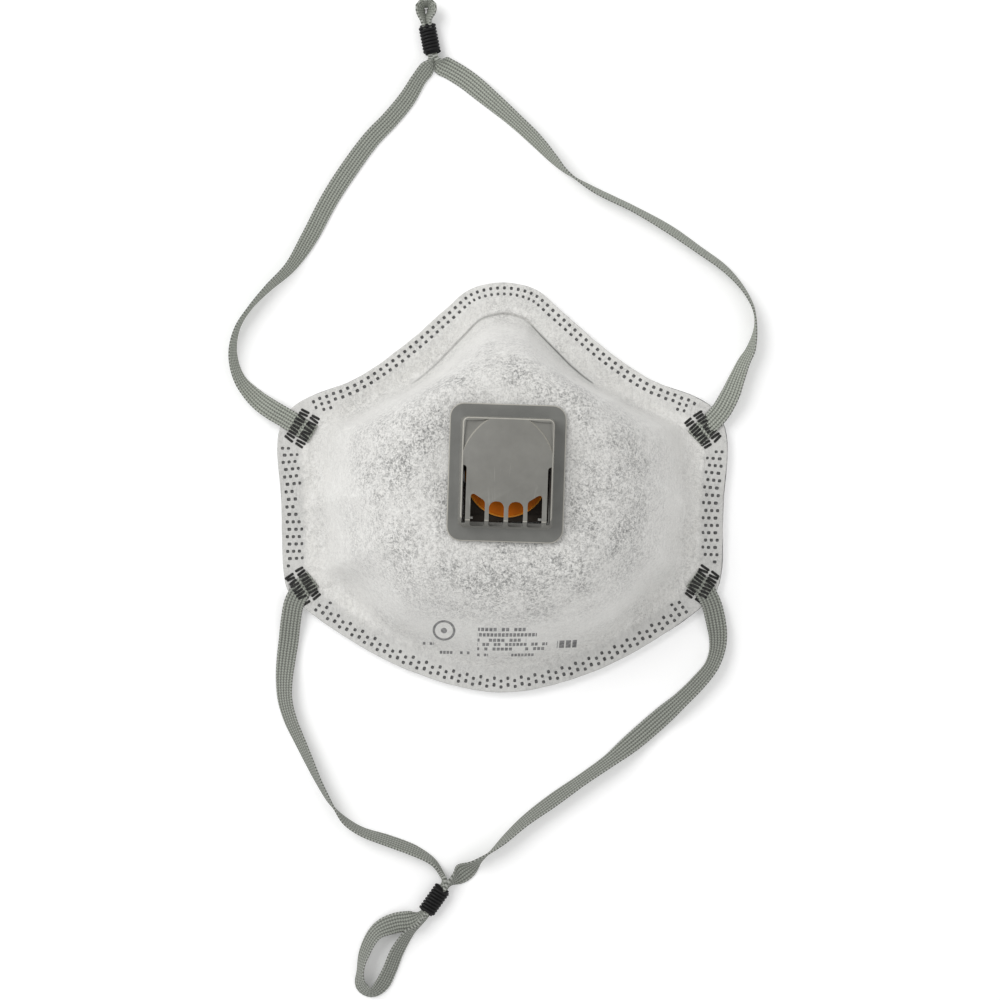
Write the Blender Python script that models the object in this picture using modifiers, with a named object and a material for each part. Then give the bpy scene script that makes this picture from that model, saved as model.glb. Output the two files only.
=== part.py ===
"""Disposable cup mask with an exhalation valve and two elastic head straps.

The cup lies on its rim. X runs across the face, +Y towards the nose, +Z out of the cup. Metres.
"""

import math

import bmesh
import bpy
from mathutils import Vector

MM = 0.001

# Cup
MASK_WIDTH = 134 * MM
MASK_HEIGHT = 122 * MM
CUP_INSIDE_HEIGHT = 41 * MM
FLANGE_WIDTH = 6 * MM
NOSE_BAND_WIDTH = 8.7 * MM
NOSE_BAND_REACH = 46 * MM
WELD_PAD_WIDTH = 11.5 * MM
WELD_PAD_REACH = 32 * MM
WELD_PAD_FULL = 0.25
NOSE_BAND_FADE = 1.4
FOOT_SHARE = 0.326
SHOULDER_SHARE = 0.70
PROFILE_STEPS = (0.12, 0.24, 0.38, 0.54, 0.75, 1.0)
CUP_COLUMNS = 48
OUTLINE_SAMPLES = 960

# Right half of the rim, from the nose to the chin, in half widths and half heights
HALF_OUTLINE = (
    (0.0, 1.0),
    (0.145, 0.967),
    (0.254, 0.869),
    (0.407, 0.721),
    (0.519, 0.625),
    (0.660, 0.526),
    (0.870, 0.435),
    (0.945, 0.378),
    (0.985, 0.300),
    (1.0, 0.200),
    (0.982, -0.061),
    (0.970, -0.430),
    (0.945, -0.515),
    (0.806, -0.649),
    (0.516, -0.844),
    (0.290, -0.943),
    (0.134, -0.986),
    (0.0, -1.0),
)

# Layers of the cup from the inside out: name, thickness, colour
LAYER_GAP = 0.2 * MM
LAYERS = (
    ("inner_lining", 0.4 * MM, (0.86, 0.86, 0.85)),
    ("support_shell", 0.8 * MM, (0.90, 0.90, 0.90)),
    ("filter_layer", 0.3 * MM, (0.93, 0.93, 0.94)),
    ("carbon_layer", 0.4 * MM, (0.05, 0.05, 0.055)),
    ("outer_cover", 0.4 * MM, (0.72, 0.72, 0.71)),
)

# Nose clip under the outer cover, and the foam inside the nose
CLIP_LENGTH = 76 * MM
CLIP_WIDTH = 3.6 * MM
CLIP_THICKNESS = 0.8 * MM
CLIP_FOLD_ROOM = 0.7 * MM
CLIP_INSET = NOSE_BAND_WIDTH - CLIP_WIDTH / 2 - CLIP_FOLD_ROOM
CLIP_SIDE_ROOM = 0.3 * MM
CLIP_STEPS = 28
CLIP_END_SHARE = 0.1
FOAM_LENGTH = 84 * MM
FOAM_THICKNESS = 3.5 * MM
FOAM_FROM = 0.24
FOAM_TO = 0.56
FOAM_STEPS = (20, 4)
FOAM_ROOM = 1.2 * MM

# Exhalation valve. The port is the round opening under the flap.
CLEARANCE = 0.3 * MM
VALVE_Y = 3.9 * MM
PORT_Y = VALVE_Y - 0.9 * MM
PORT_RADIUS = 10.2 * MM
NECK_WALL = 1.6 * MM
HOLE_ROOM = 0.5 * MM
FLAP_OVERLAP = 1.5 * MM
FLAP_RADIUS = PORT_RADIUS + FLAP_OVERLAP
FLAP_SIDE_ROOM = 0.6 * MM
HOUSING_WALL = 1.1 * MM
HOUSING_WIDTH = 2 * (FLAP_RADIUS + FLAP_SIDE_ROOM + HOUSING_WALL)
WINDOW_ROOM = 5 * MM
HOUSING_LENGTH = HOUSING_WIDTH + WINDOW_ROOM
HOUSING_HEIGHT = 7.5 * MM
HOUSING_CORNER = 1.6 * MM
HOUSING_DRAFT = 0.5 * MM
CHIN_DRAFT = 2.2 * MM
ROOM_CORNER = 0.4 * MM
BRIM_SIDE = 3.2 * MM
BRIM_END = 3.7 * MM
BRIM_WIDTH = HOUSING_WIDTH + 2 * BRIM_SIDE
BRIM_LENGTH = HOUSING_LENGTH + 2 * BRIM_END
BRIM_THICKNESS = 1.5 * MM
BRIM_CORNER = 4 * MM
BRIM_EDGE = 0.6 * MM
BRIM_MARGIN = 1.2 * MM
NARROWEST_RUN = MASK_HEIGHT / 2 - NOSE_BAND_WIDTH - (VALVE_Y + BRIM_LENGTH / 2 + BRIM_MARGIN)
FOOT_LENGTH = FOOT_SHARE * NARROWEST_RUN
SPANDREL_DEPTH = 0.6 * MM
SPANDREL_STEPS = 12
TOP_ARC_ASIDE = 5 * MM
TOP_ARC_MARGIN = 0.4 * MM
TOP_ARC_RADIUS = HOUSING_WIDTH / 2 + TOP_ARC_ASIDE - TOP_ARC_MARGIN
TOP_ARC_Y = VALVE_Y - 0.4 * MM
WINDOW_TOP = 7.9 * MM
WINDOW_SLANT = 2.5 * MM
WINDOW_BAR = 1.3 * MM
WINDOWS_SIDE = 3.2 * MM
WINDOWS_WIDTH = HOUSING_WIDTH - 2 * WINDOWS_SIDE
WINDOW_COUNT = 4
WINDOW_SILL = 0.5 * MM
SLOT_WIDTH = 1.1 * MM
SLOT_TOP = 1.5 * MM
SLOT_END = 0.9 * MM
SLOT_LENGTH = HOUSING_LENGTH / 2 + SLOT_TOP - SLOT_END
SLOT_EDGE = 0.9 * MM
SEAT_THICKNESS = 1.2 * MM
SEAT_RIDGE = 0.8 * MM
SEAT_RIDGE_HEIGHT = 0.9 * MM
SEAT_CORNER = 1.2 * MM
SPOKE_WIDTH = 1.3 * MM
SPOKE_SHARE = 0.8
LEDGE_WIDTH = 1.8 * MM
LEDGE_HEIGHT = 0.8 * MM
FLAP_THICKNESS = 0.5 * MM
RING_WIDTH = 3.6 * MM
RING_THICKNESS = 1.2 * MM
NECK_FOOT = 0.5 * MM
ROUND_SEGMENTS = 48
CORNER_STEPS = 8

# Head straps: flat elastic, 330 mm of it in each
STRAP_WIDTH = 6 * MM
STRAP_THICKNESS = 0.7 * MM
STRAP_REST = 0.2 * MM
STRAP_POINTS = 78
BUNCHED = 0.4
FLANGE_LIFT = 3.2

# Adjusters: ribbed sleeves, each with two strands of its strap inside
ADJUSTER_LENGTH = 8.9 * MM
ADJUSTER_BORE = 2.05 * MM
ADJUSTER_WALL = 0.6 * MM
ADJUSTER_RADIUS = ADJUSTER_BORE + ADJUSTER_WALL
ADJUSTER_GROOVE = 0.3 * MM
ADJUSTER_FLATNESS = 0.87
ADJUSTER_RIBS = 8
ADJUSTER_SEGMENTS = 16
UPPER_ADJUSTER = ((-20.9 * MM, 129.0 * MM), (-22.6 * MM, 137.7 * MM))
LOWER_ADJUSTER = ((-17.7 * MM, -119.1 * MM), (-22.9 * MM, -126.4 * MM))

# Strap routes in millimetres: x, y, lean in degrees, lift above lying on the ground, size.
# A lean of 0 lies flat, and at 90 the strap stands on its edge with its left edge up.
UPPER_ROUTE = (
    (-56.5, 15.8, 0, FLANGE_LIFT, 1),
    (-59.6, 17.6, 0, FLANGE_LIFT, 1),
    (-64.6, 20.7, 2, FLANGE_LIFT, 1),
    (-69.0, 23.3, 8, 3.0, 1),
    (-73.4, 26.6, 28, 0.9, 1),
    (-78.2, 32.2, 56, 0, 1),
    (-80.2, 39.6, 69, 0, 1),
    (-79.0, 47.0, 80, 0, 1),
    (-75.4, 53.0, 85, 0, 1),
    (-70.0, 59.0, 75, 0, 1),
    (-63.3, 65.4, 60, 0, 1),
    (-57.8, 73.9, 38, 0, 1),
    (-51.5, 85.8, 32, 0, 1),
    (-45.7, 94.8, 29, 0, 1),
    (-39.1, 103.7, 33, 0, 1),
    (-33.4, 109.7, 35, 0, 1),
    (-28.5, 115.7, 36, 0, 1),
    (-24.9, 121.6, 52, 0, 0.9),
    (-22.2, 125.2, 74, 0, 0.75),
    (-21.3, 127.4, 90, 1.1, BUNCHED),
    (-22.35, 133.2, 90, 1.1, BUNCHED),
    (-23.5, 139.1, 90, 1.1, BUNCHED),
    (-24.4, 141.2, 72, 0.4, 0.7),
    (-24.2, 143.2, 66, 0.4, 0.7),
    (-22.8, 144.1, 66, 0.4, 0.7),
    (-21.4, 143.3, 66, 0.4, 0.7),
    (-21.2, 141.4, 72, 0.4, 0.7),
    (-22.3, 139.3, 90, 1.1, BUNCHED),
    (-21.15, 133.5, 90, 1.1, BUNCHED),
    (-20.0, 127.6, 90, 1.1, BUNCHED),
    (-18.6, 126.1, 64, 0, 0.75),
    (-15.6, 124.6, 30, 0, 0.9),
    (-10.7, 121.6, 6, 0, 1),
    (-3.6, 115.7, 30, 0, 1),
    (3.3, 109.7, 47, 0, 1),
    (9.7, 103.7, 54, 0, 1),
    (15.2, 97.8, 70, 0, 1),
    (19.0, 94.0, 88, 0, 1),
    (27.0, 88.8, 110, 0, 1),
    (39.3, 82.8, 113, 0, 1),
    (49.7, 76.9, 120, 0, 1),
    (58.4, 70.9, 117, 0, 1),
    (66.6, 64.9, 114, 0, 1),
    (72.1, 58.6, 105, 0, 1),
    (74.9, 53.0, 99, 0, 1),
    (75.4, 47.6, 90, 0, 1),
    (73.9, 41.0, 66, 0, 1),
    (72.0, 37.6, 56, 0.3, 1),
    (69.6, 32.1, 40, 1.3, 1),
    (67.6, 27.4, 22, 2.7, 1),
    (64.6, 22.2, 6, FLANGE_LIFT, 1),
    (59.6, 17.0, 0, FLANGE_LIFT, 1),
    (57.2, 14.6, 0, FLANGE_LIFT, 1),
)
LOWER_ROUTE = (
    (-56.4, -27.2, 0, FLANGE_LIFT, 1),
    (-59.3, -29.6, 0, FLANGE_LIFT, 1),
    (-61.9, -34.0, 0, FLANGE_LIFT, 1),
    (-63.0, -39.6, 0, 2.6, 1),
    (-63.7, -45.5, 6, 1.0, 1),
    (-64.5, -51.5, 18, 0, 1),
    (-65.0, -57.5, 32, 0, 1),
    (-64.7, -63.4, 41, 0, 1),
    (-63.0, -69.4, 47, 0, 1),
    (-60.3, -75.4, 54, 0, 1),
    (-57.6, -81.3, 61, 0, 1),
    (-54.8, -87.3, 70, 0, 1),
    (-51.5, -93.3, 78, 0, 1),
    (-49.4, -96.3, 90, 0, 1),
    (-46.9, -99.1, 104, 0, 1),
    (-42.2, -102.2, 110, 0, 1),
    (-33.7, -105.2, 119, 0, 1),
    (-26.0, -108.2, 118, 0, 0.95),
    (-20.6, -111.6, 105, 0, 0.8),
    (-18.2, -115.2, 92, 0, 0.6),
    (-17.3, -117.5, 90, 1.1, BUNCHED),
    (-20.8, -122.4, 90, 1.1, BUNCHED),
    (-24.3, -127.3, 90, 1.1, BUNCHED),
    (-27.6, -128.8, 66, 0.6, 0.8),
    (-32.0, -129.6, 50, 0, 0.9),
    (-37.6, -132.2, 52, 0, 1),
    (-41.0, -138.0, 60, 0, 1),
    (-42.4, -144.2, 64, 0, 1),
    (-41.9, -148.4, 60, 0, 1),
    (-39.2, -150.2, 60, 0, 1),
    (-36.2, -148.2, 60, 0, 1),
    (-33.7, -143.6, 52, 0, 1),
    (-31.5, -138.2, 50, 0, 1),
    (-28.0, -132.6, 60, 0, 0.9),
    (-25.2, -130.2, 80, 0.6, 0.6),
    (-23.3, -128.0, 90, 1.1, BUNCHED),
    (-19.8, -123.1, 90, 1.1, BUNCHED),
    (-16.3, -118.2, 90, 1.1, BUNCHED),
    (-14.8, -116.9, 56, 0, 0.85),
    (-12.1, -115.0, 12, 0, 1),
    (-7.6, -111.4, 66, 0, 1),
    (-3.3, -108.2, 88, 0, 1),
    (0.1, -105.2, 104, 0, 1),
    (6.6, -99.3, 116, 0, 1),
    (14.8, -93.3, 126, 0, 1),
    (23.3, -87.3, 121, 0, 1),
    (31.9, -81.3, 128, 0, 1),
    (39.4, -75.4, 156, 0, 1),
    (46.4, -69.4, 160, 0, 1),
    (53.1, -63.4, 138, 0, 1),
    (58.6, -57.9, 134, 0, 1),
    (62.2, -53.4, 130, 0, 1),
    (63.9, -49.0, 136, 0, 1),
    (64.2, -44.6, 150, 0.8, 1),
    (63.3, -39.0, 172, 2.6, 1),
    (61.9, -34.0, 180, FLANGE_LIFT, 1),
    (59.3, -29.6, 180, FLANGE_LIFT, 1),
    (56.4, -27.2, 180, FLANGE_LIFT, 1),
)
WELD_SHARES = ((0.89, 0.2885), (0.89, -0.472))
WELD_CENTRES = tuple(
    Vector((side * x * MASK_WIDTH / 2, y * MASK_HEIGHT / 2)) for side in (-1, 1) for x, y in WELD_SHARES
)


# ---------- Curves ----------


def smooth_curve(points, closed=False, steps=24):
    """Centripetal Catmull-Rom curve through points of any dimension, as a dense list."""
    points = [Vector(p) for p in points]
    if closed:
        path = [points[-1], *points, points[0], points[1]]
    else:
        path = [2 * points[0] - points[1], *points, 2 * points[-1] - points[-2]]
    dense = []
    for p0, p1, p2, p3 in zip(path, path[1:], path[2:], path[3:]):
        t1 = math.sqrt((p1 - p0).length)
        t2 = t1 + math.sqrt((p2 - p1).length)
        t3 = t2 + math.sqrt((p3 - p2).length)
        for step in range(steps):
            t = t1 + (t2 - t1) * step / steps
            a = p0.lerp(p1, t / t1)
            b = p1.lerp(p2, (t - t1) / (t2 - t1))
            c = p2.lerp(p3, (t - t2) / (t3 - t2))
            d = a.lerp(b, t / t2)
            e = b.lerp(c, (t - t1) / (t3 - t1))
            dense.append(d.lerp(e, (t - t1) / (t2 - t1)))
    return dense if closed else [*dense, points[-1]]


def resampled(points, count, closed=False, axes=3):
    """Evenly spaced points along a polyline, measured on its first axes."""
    points = [*points, points[0]] if closed else points
    travelled = [0.0]
    for a, b in zip(points, points[1:]):
        travelled.append(travelled[-1] + Vector((b - a)[:axes]).length)
    spaces = count if closed else count - 1
    result, leg = [], 0
    for step in range(count):
        target = travelled[-1] * step / spaces
        while leg < len(points) - 2 and travelled[leg + 1] < target:
            leg += 1
        share = (target - travelled[leg]) / (travelled[leg + 1] - travelled[leg])
        result.append(points[leg].lerp(points[leg + 1], min(share, 1.0)))
    return result


def smoothstep(low, high, value):
    share = min(max((value - low) / (high - low), 0.0), 1.0)
    return share * share * (3 - 2 * share)


def rim_outline():
    right = [(x * MASK_WIDTH / 2, y * MASK_HEIGHT / 2) for x, y in HALF_OUTLINE]
    left = [(-x, y) for x, y in reversed(right[1:-1])]
    return resampled(smooth_curve(right + left, closed=True), OUTLINE_SAMPLES, closed=True, axes=2)


def ring_around(half_x, half_y, corner, centre_y):
    """Rounded rectangle, clockwise from its top middle, evenly spaced."""
    turns = ((1, 1, 90), (1, -1, 0), (-1, -1, -90), (-1, 1, -180))
    points = [Vector((0, half_y + centre_y))]
    for side_x, side_y, start in turns:
        middle = Vector((side_x * (half_x - corner), side_y * (half_y - corner) + centre_y))
        for step in range(CORNER_STEPS + 1):
            angle = math.radians(start - 90 * step / CORNER_STEPS)
            points.append(middle + corner * Vector((math.cos(angle), math.sin(angle))))
    return resampled(points, OUTLINE_SAMPLES, closed=True, axes=2)


# ---------- The cup's surface ----------

RIM = rim_outline()
PERIMETER = sum((a - b).length for a, b in zip(RIM, RIM[1:] + RIM[:1]))
PLATEAU = ring_around(
    BRIM_WIDTH / 2 + BRIM_MARGIN, BRIM_LENGTH / 2 + BRIM_MARGIN, BRIM_CORNER + BRIM_MARGIN, VALVE_Y
)
NECK_RADIUS = PORT_RADIUS + NECK_WALL
HOLE_RADIUS = NECK_RADIUS + HOLE_ROOM
HOLE = ring_around(HOLE_RADIUS, HOLE_RADIUS, HOLE_RADIUS, PORT_Y)


def along(ring, distance):
    """The point of an evenly spaced ring that belongs to a distance along the rim."""
    place = (distance / PERIMETER % 1.0) * len(ring)
    index = int(place)
    return ring[index % len(ring)].lerp(ring[(index + 1) % len(ring)], place - index)


def inward(distance):
    ahead = along(RIM, distance + MM) - along(RIM, distance - MM)
    return Vector((ahead.y, -ahead.x)).normalized()


def flange_width(distance):
    from_nose = min(distance % PERIMETER, -distance % PERIMETER)
    nose = 1 - smoothstep(NOSE_BAND_REACH, NOSE_BAND_FADE * NOSE_BAND_REACH, from_nose)
    nearest = min((along(RIM, distance) - centre).length for centre in WELD_CENTRES)
    pad = 1 - smoothstep(WELD_PAD_FULL * WELD_PAD_REACH, WELD_PAD_REACH, nearest)
    wide = max(nose * (NOSE_BAND_WIDTH - FLANGE_WIDTH), pad * (WELD_PAD_WIDTH - FLANGE_WIDTH))
    return FLANGE_WIDTH + wide


def flange_point(distance, inset):
    """A point of the flange's lower face."""
    inset = min(inset, flange_width(distance))
    return (along(RIM, distance) + inset * inward(distance)).to_3d()


def wall_point(distance, share):
    """A point of the cup's inside, from the flange at share 0 to the flat under the valve at 1."""
    foot = flange_point(distance, flange_width(distance))
    top = along(PLATEAU, distance).to_3d()
    run = top - foot
    early, late = 3 * (1 - share) ** 2 * share, 3 * (1 - share) * share**2
    reach = early * FOOT_LENGTH / run.length + late * (1 - SHOULDER_SHARE) + share**3
    rise = CUP_INSIDE_HEIGHT * (late + share**3)
    return foot + run * reach + Vector((0, 0, rise))


def hole_point(distance):
    return along(HOLE, distance).to_3d() + Vector((0, 0, CUP_INSIDE_HEIGHT))


# ---------- Objects ----------


def start_scene():
    for obj in list(bpy.data.objects):
        bpy.data.objects.remove(obj, do_unlink=True)
    parts = bpy.data.collections.new("disposable_dust_mask")
    cutters = bpy.data.collections.new("cutters")
    for collection in (parts, cutters):
        bpy.context.scene.collection.children.link(collection)
    return parts, cutters


def material(name, colour, roughness, metallic=0.0):
    made = bpy.data.materials.new(name)
    made.use_nodes = True
    shader = made.node_tree.nodes["Principled BSDF"]
    shader.inputs["Base Color"].default_value = (*colour, 1.0)
    shader.inputs["Roughness"].default_value = roughness
    shader.inputs["Metallic"].default_value = metallic
    return made


def add_part(name, data, look):
    obj = bpy.data.objects.new(name, data)
    PARTS.objects.link(obj)
    data.materials.append(look)
    return obj


def add_cutter(name, mesh):
    obj = bpy.data.objects.new(name, mesh)
    CUTTERS.objects.link(obj)
    obj.hide_render = True
    obj.display_type = "WIRE"
    return obj


def mesh_from(bm, name):
    mesh = bpy.data.meshes.new(name)
    bm.to_mesh(mesh)
    bm.free()
    return mesh


def boolean(obj, other, operation):
    modifier = obj.modifiers.new(f"{operation.lower()} {other.name}", "BOOLEAN")
    modifier.operation = operation
    modifier.object = other
    return modifier


def solidify(obj, thickness, side=1):
    modifier = obj.modifiers.new("thickness", "SOLIDIFY")
    modifier.thickness = thickness
    modifier.offset = side
    modifier.use_even_offset = True


def surface_grid(columns, rows, place):
    """Open grid whose vertex (column, row) goes to place(column, row), facing up and out of the cup."""
    bm = bmesh.new()
    bmesh.ops.create_grid(bm, x_segments=columns, y_segments=rows, size=0.5)
    for vert in bm.verts:
        column = round((vert.co.x + 0.5) * columns)
        row = round((vert.co.y + 0.5) * rows)
        vert.co = place(column, row)
    bmesh.ops.remove_doubles(bm, verts=bm.verts, dist=1e-6)
    bm.normal_update()
    if sum(face.normal.z for face in bm.faces) < 0:
        bmesh.ops.reverse_faces(bm, faces=bm.faces)
        bm.normal_update()
    return bm


def push_out(bm, distance):
    """Moves a surface along its normals, so that it stays the same distance away everywhere."""
    moves = [(vert, vert.normal * distance * vert.calc_shell_factor()) for vert in bm.verts]
    for vert, move in moves:
        vert.co += move


def box(bm, size, centre, corner=0.0, top_corner=0.0):
    """Box with rounded upright edges, and a rounded rim on top where top_corner is set."""
    made = bmesh.ops.create_cube(bm, size=1.0)["verts"]
    for vert in made:
        vert.co = Vector(a * b for a, b in zip(vert.co, size)) + Vector(centre)
    edges = {edge for vert in made for edge in vert.link_edges}
    upright = [edge for edge in edges if abs(edge.verts[0].co.z - edge.verts[1].co.z) > size[2] / 2]
    if corner:
        bmesh.ops.bevel(bm, geom=upright, offset=corner, segments=4, profile=0.5, affect="EDGES")
    if top_corner:
        top = [edge for edge in bm.edges if all(v.co.z > centre[2] + size[2] * 0.49 for v in edge.verts)]
        bmesh.ops.bevel(bm, geom=top, offset=top_corner, segments=2, profile=0.5, affect="EDGES")


def disc(radius, low, high):
    """Upright round solid around the port's axis."""
    bm = bmesh.new()
    bmesh.ops.create_cone(
        bm, cap_ends=True, segments=ROUND_SEGMENTS, radius1=radius, radius2=radius, depth=high - low
    )
    bmesh.ops.translate(bm, verts=bm.verts, vec=(0, PORT_Y, (low + high) / 2))
    return bm


# ---------- Cup ----------


def layer_offsets():
    """How far each layer's inner face lies from the cup's inside, and the stack's whole thickness."""
    offsets, total = {}, 0.0
    for name, thickness, _ in LAYERS:
        offsets[name] = total
        total += thickness + LAYER_GAP
    return offsets, total - LAYER_GAP


def make_layer(name, offset, thickness, colour):
    step = PERIMETER / CUP_COLUMNS
    is_cover = name == "outer_cover"
    band_edge = CLIP_INSET - CLIP_WIDTH / 2 - CLIP_SIDE_ROOM
    insets = [0.0, band_edge - CLIP_SIDE_ROOM, band_edge] if is_cover else [0.0]
    flange_rows = len(insets)
    shares = (0.0, *PROFILE_STEPS)

    def place(column, row):
        distance = column % CUP_COLUMNS * step
        if row < flange_rows:
            return flange_point(distance, insets[row])
        if row < flange_rows + len(shares):
            return wall_point(distance, shares[row - flange_rows])
        return hole_point(distance)

    bm = surface_grid(CUP_COLUMNS, flange_rows + len(shares), place)
    lifted = []
    if is_cover:
        raised_rows = [flange_rows - 1, flange_rows]
        reach = CLIP_LENGTH / 2 + step
        columns = [c for c in range(CUP_COLUMNS) if min(c, CUP_COLUMNS - c) * step < reach]
        raised = [place(c, r) for c in columns for r in raised_rows]
        lifted = [v for v in bm.verts if any((v.co - p).length < 1e-6 for p in raised)]
    push_out(bm, offset)
    for vert in lifted:
        vert.co.z += CLIP_THICKNESS + LAYER_GAP
    obj = add_part(name, mesh_from(bm, name), material(name, colour, 0.95))
    solidify(obj, thickness)


def make_nose_clip(floor_height):
    half = CLIP_LENGTH / 2

    def place(column, row):
        distance = -half + CLIP_LENGTH * column / CLIP_STEPS
        past = max(abs(distance) - half + CLIP_WIDTH / 2, 0) / (CLIP_WIDTH / 2)
        end_round = math.sqrt(max(1 - past**2, CLIP_END_SHARE))
        across = (row / 2 - 0.5) * CLIP_WIDTH * end_round
        point = flange_point(distance, CLIP_INSET + across)
        point.z = floor_height
        return point

    bm = surface_grid(CLIP_STEPS, 2, place)
    look = material("nose_clip", (0.8, 0.8, 0.82), 0.3, 1.0)
    obj = add_part("nose_clip", mesh_from(bm, "nose_clip"), look)
    solidify(obj, CLIP_THICKNESS)


def make_nose_foam():
    columns, rows = FOAM_STEPS

    def place(column, row):
        distance = (column / columns - 0.5) * FOAM_LENGTH
        return wall_point(distance, FOAM_FROM + (FOAM_TO - FOAM_FROM) * row / rows)

    bm = surface_grid(columns, rows, place)
    push_out(bm, -FOAM_ROOM)
    obj = add_part("nose_foam", mesh_from(bm, "nose_foam"), material("nose_foam", (0.25, 0.25, 0.26), 1.0))
    solidify(obj, FOAM_THICKNESS, side=-1)


# ---------- Valve ----------


def housing_mesh(base, shrink, name):
    """The cover's housing, or with a shrink the room inside it."""
    bm = bmesh.new()
    low = base - MM if shrink else base + BRIM_THICKNESS / 2
    high = base + BRIM_THICKNESS + HOUSING_HEIGHT - shrink
    size = (HOUSING_WIDTH - 2 * shrink, HOUSING_LENGTH - 2 * shrink, high - low)
    box(bm, size, (0, VALVE_Y, (low + high) / 2), corner=max(HOUSING_CORNER - shrink, ROOM_CORNER))
    for vert in bm.verts:
        if vert.co.z > (low + high) / 2:
            side = 1 if vert.co.x > 0 else -1
            vert.co.x -= side * HOUSING_DRAFT
            vert.co.y += CHIN_DRAFT if vert.co.y < VALVE_Y else -HOUSING_DRAFT
    return mesh_from(bm, name)


def windows_mesh(base):
    """Four upright windows between bars at the chin, the outer two slanting, and a slot along each side."""
    bm = bmesh.new()
    top = base + BRIM_THICKNESS + HOUSING_HEIGHT + MM
    sill = base + BRIM_THICKNESS + WINDOW_SILL
    width = (WINDOWS_WIDTH - (WINDOW_COUNT - 1) * WINDOW_BAR) / WINDOW_COUNT
    near, far = VALVE_Y - WINDOW_TOP, VALVE_Y - HOUSING_LENGTH / 2 - MM
    for index in range(WINDOW_COUNT):
        x = (index - (WINDOW_COUNT - 1) / 2) * (width + WINDOW_BAR)
        box(bm, (width, near - far, top - sill), (x, (near + far) / 2, (top + sill) / 2))
    for vert in bm.verts:
        if vert.co.y > near - CLEARANCE and abs(vert.co.x) > WINDOWS_WIDTH / 2 - CLEARANCE:
            vert.co.y += WINDOW_SLANT
    slot_y = VALVE_Y + SLOT_TOP - SLOT_LENGTH / 2
    for side in (-1, 1):
        x = side * (HOUSING_WIDTH / 2 - HOUSING_DRAFT - SLOT_EDGE - SLOT_WIDTH / 2)
        box(bm, (SLOT_WIDTH, SLOT_LENGTH, top - sill), (x, slot_y, (top + sill) / 2))
    return mesh_from(bm, "valve_windows")


def spandrels_mesh(base):
    """What lowers the two upper corners of the housing, each up to a long arc."""
    top = base + BRIM_THICKNESS + HOUSING_HEIGHT
    half = HOUSING_WIDTH / 2 - HOUSING_DRAFT - SLOT_EDGE
    far = HOUSING_LENGTH / 2 - HOUSING_DRAFT - SLOT_EDGE
    bm = bmesh.new()
    for side in (-1, 1):
        centre = Vector((-side * TOP_ARC_ASIDE, TOP_ARC_Y))
        start = math.asin((VALVE_Y + far - TOP_ARC_Y) / TOP_ARC_RADIUS)
        end = math.acos((half + TOP_ARC_ASIDE) / TOP_ARC_RADIUS)
        arc = []
        for step in range(SPANDREL_STEPS + 1):
            angle = start + (end - start) * step / SPANDREL_STEPS
            across = Vector((side * math.cos(angle), math.sin(angle)))
            arc.append(centre + TOP_ARC_RADIUS * across)
        outline = [*arc, Vector((side * half, VALVE_Y + far))]
        low = [bm.verts.new((p.x, p.y, top - SPANDREL_DEPTH)) for p in outline]
        face = bm.faces.new(low if side < 0 else reversed(low))
        made = bmesh.ops.extrude_face_region(bm, geom=[face])["geom"]
        lift = [item for item in made if isinstance(item, bmesh.types.BMVert)]
        bmesh.ops.translate(bm, verts=lift, vec=(0, 0, SPANDREL_DEPTH + MM))
    bmesh.ops.recalc_face_normals(bm, faces=bm.faces)
    return mesh_from(bm, "valve_spandrels")


def make_valve_cover(base):
    grey = material("valve_cover", (0.30, 0.30, 0.285), 0.45)
    bm = bmesh.new()
    box(
        bm,
        (BRIM_WIDTH, BRIM_LENGTH, BRIM_THICKNESS),
        (0, VALVE_Y, base + BRIM_THICKNESS / 2),
        corner=BRIM_CORNER,
        top_corner=BRIM_EDGE,
    )
    obj = add_part("valve_cover", mesh_from(bm, "valve_cover"), grey)
    boolean(obj, add_cutter("valve_housing", housing_mesh(base, 0.0, "valve_housing")), "UNION")
    room = add_cutter("valve_room", housing_mesh(base, HOUSING_WALL, "valve_room"))
    boolean(obj, room, "DIFFERENCE")
    boolean(obj, add_cutter("valve_windows", windows_mesh(base)), "DIFFERENCE")
    boolean(obj, add_cutter("valve_spandrels", spandrels_mesh(base)), "DIFFERENCE")


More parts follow.
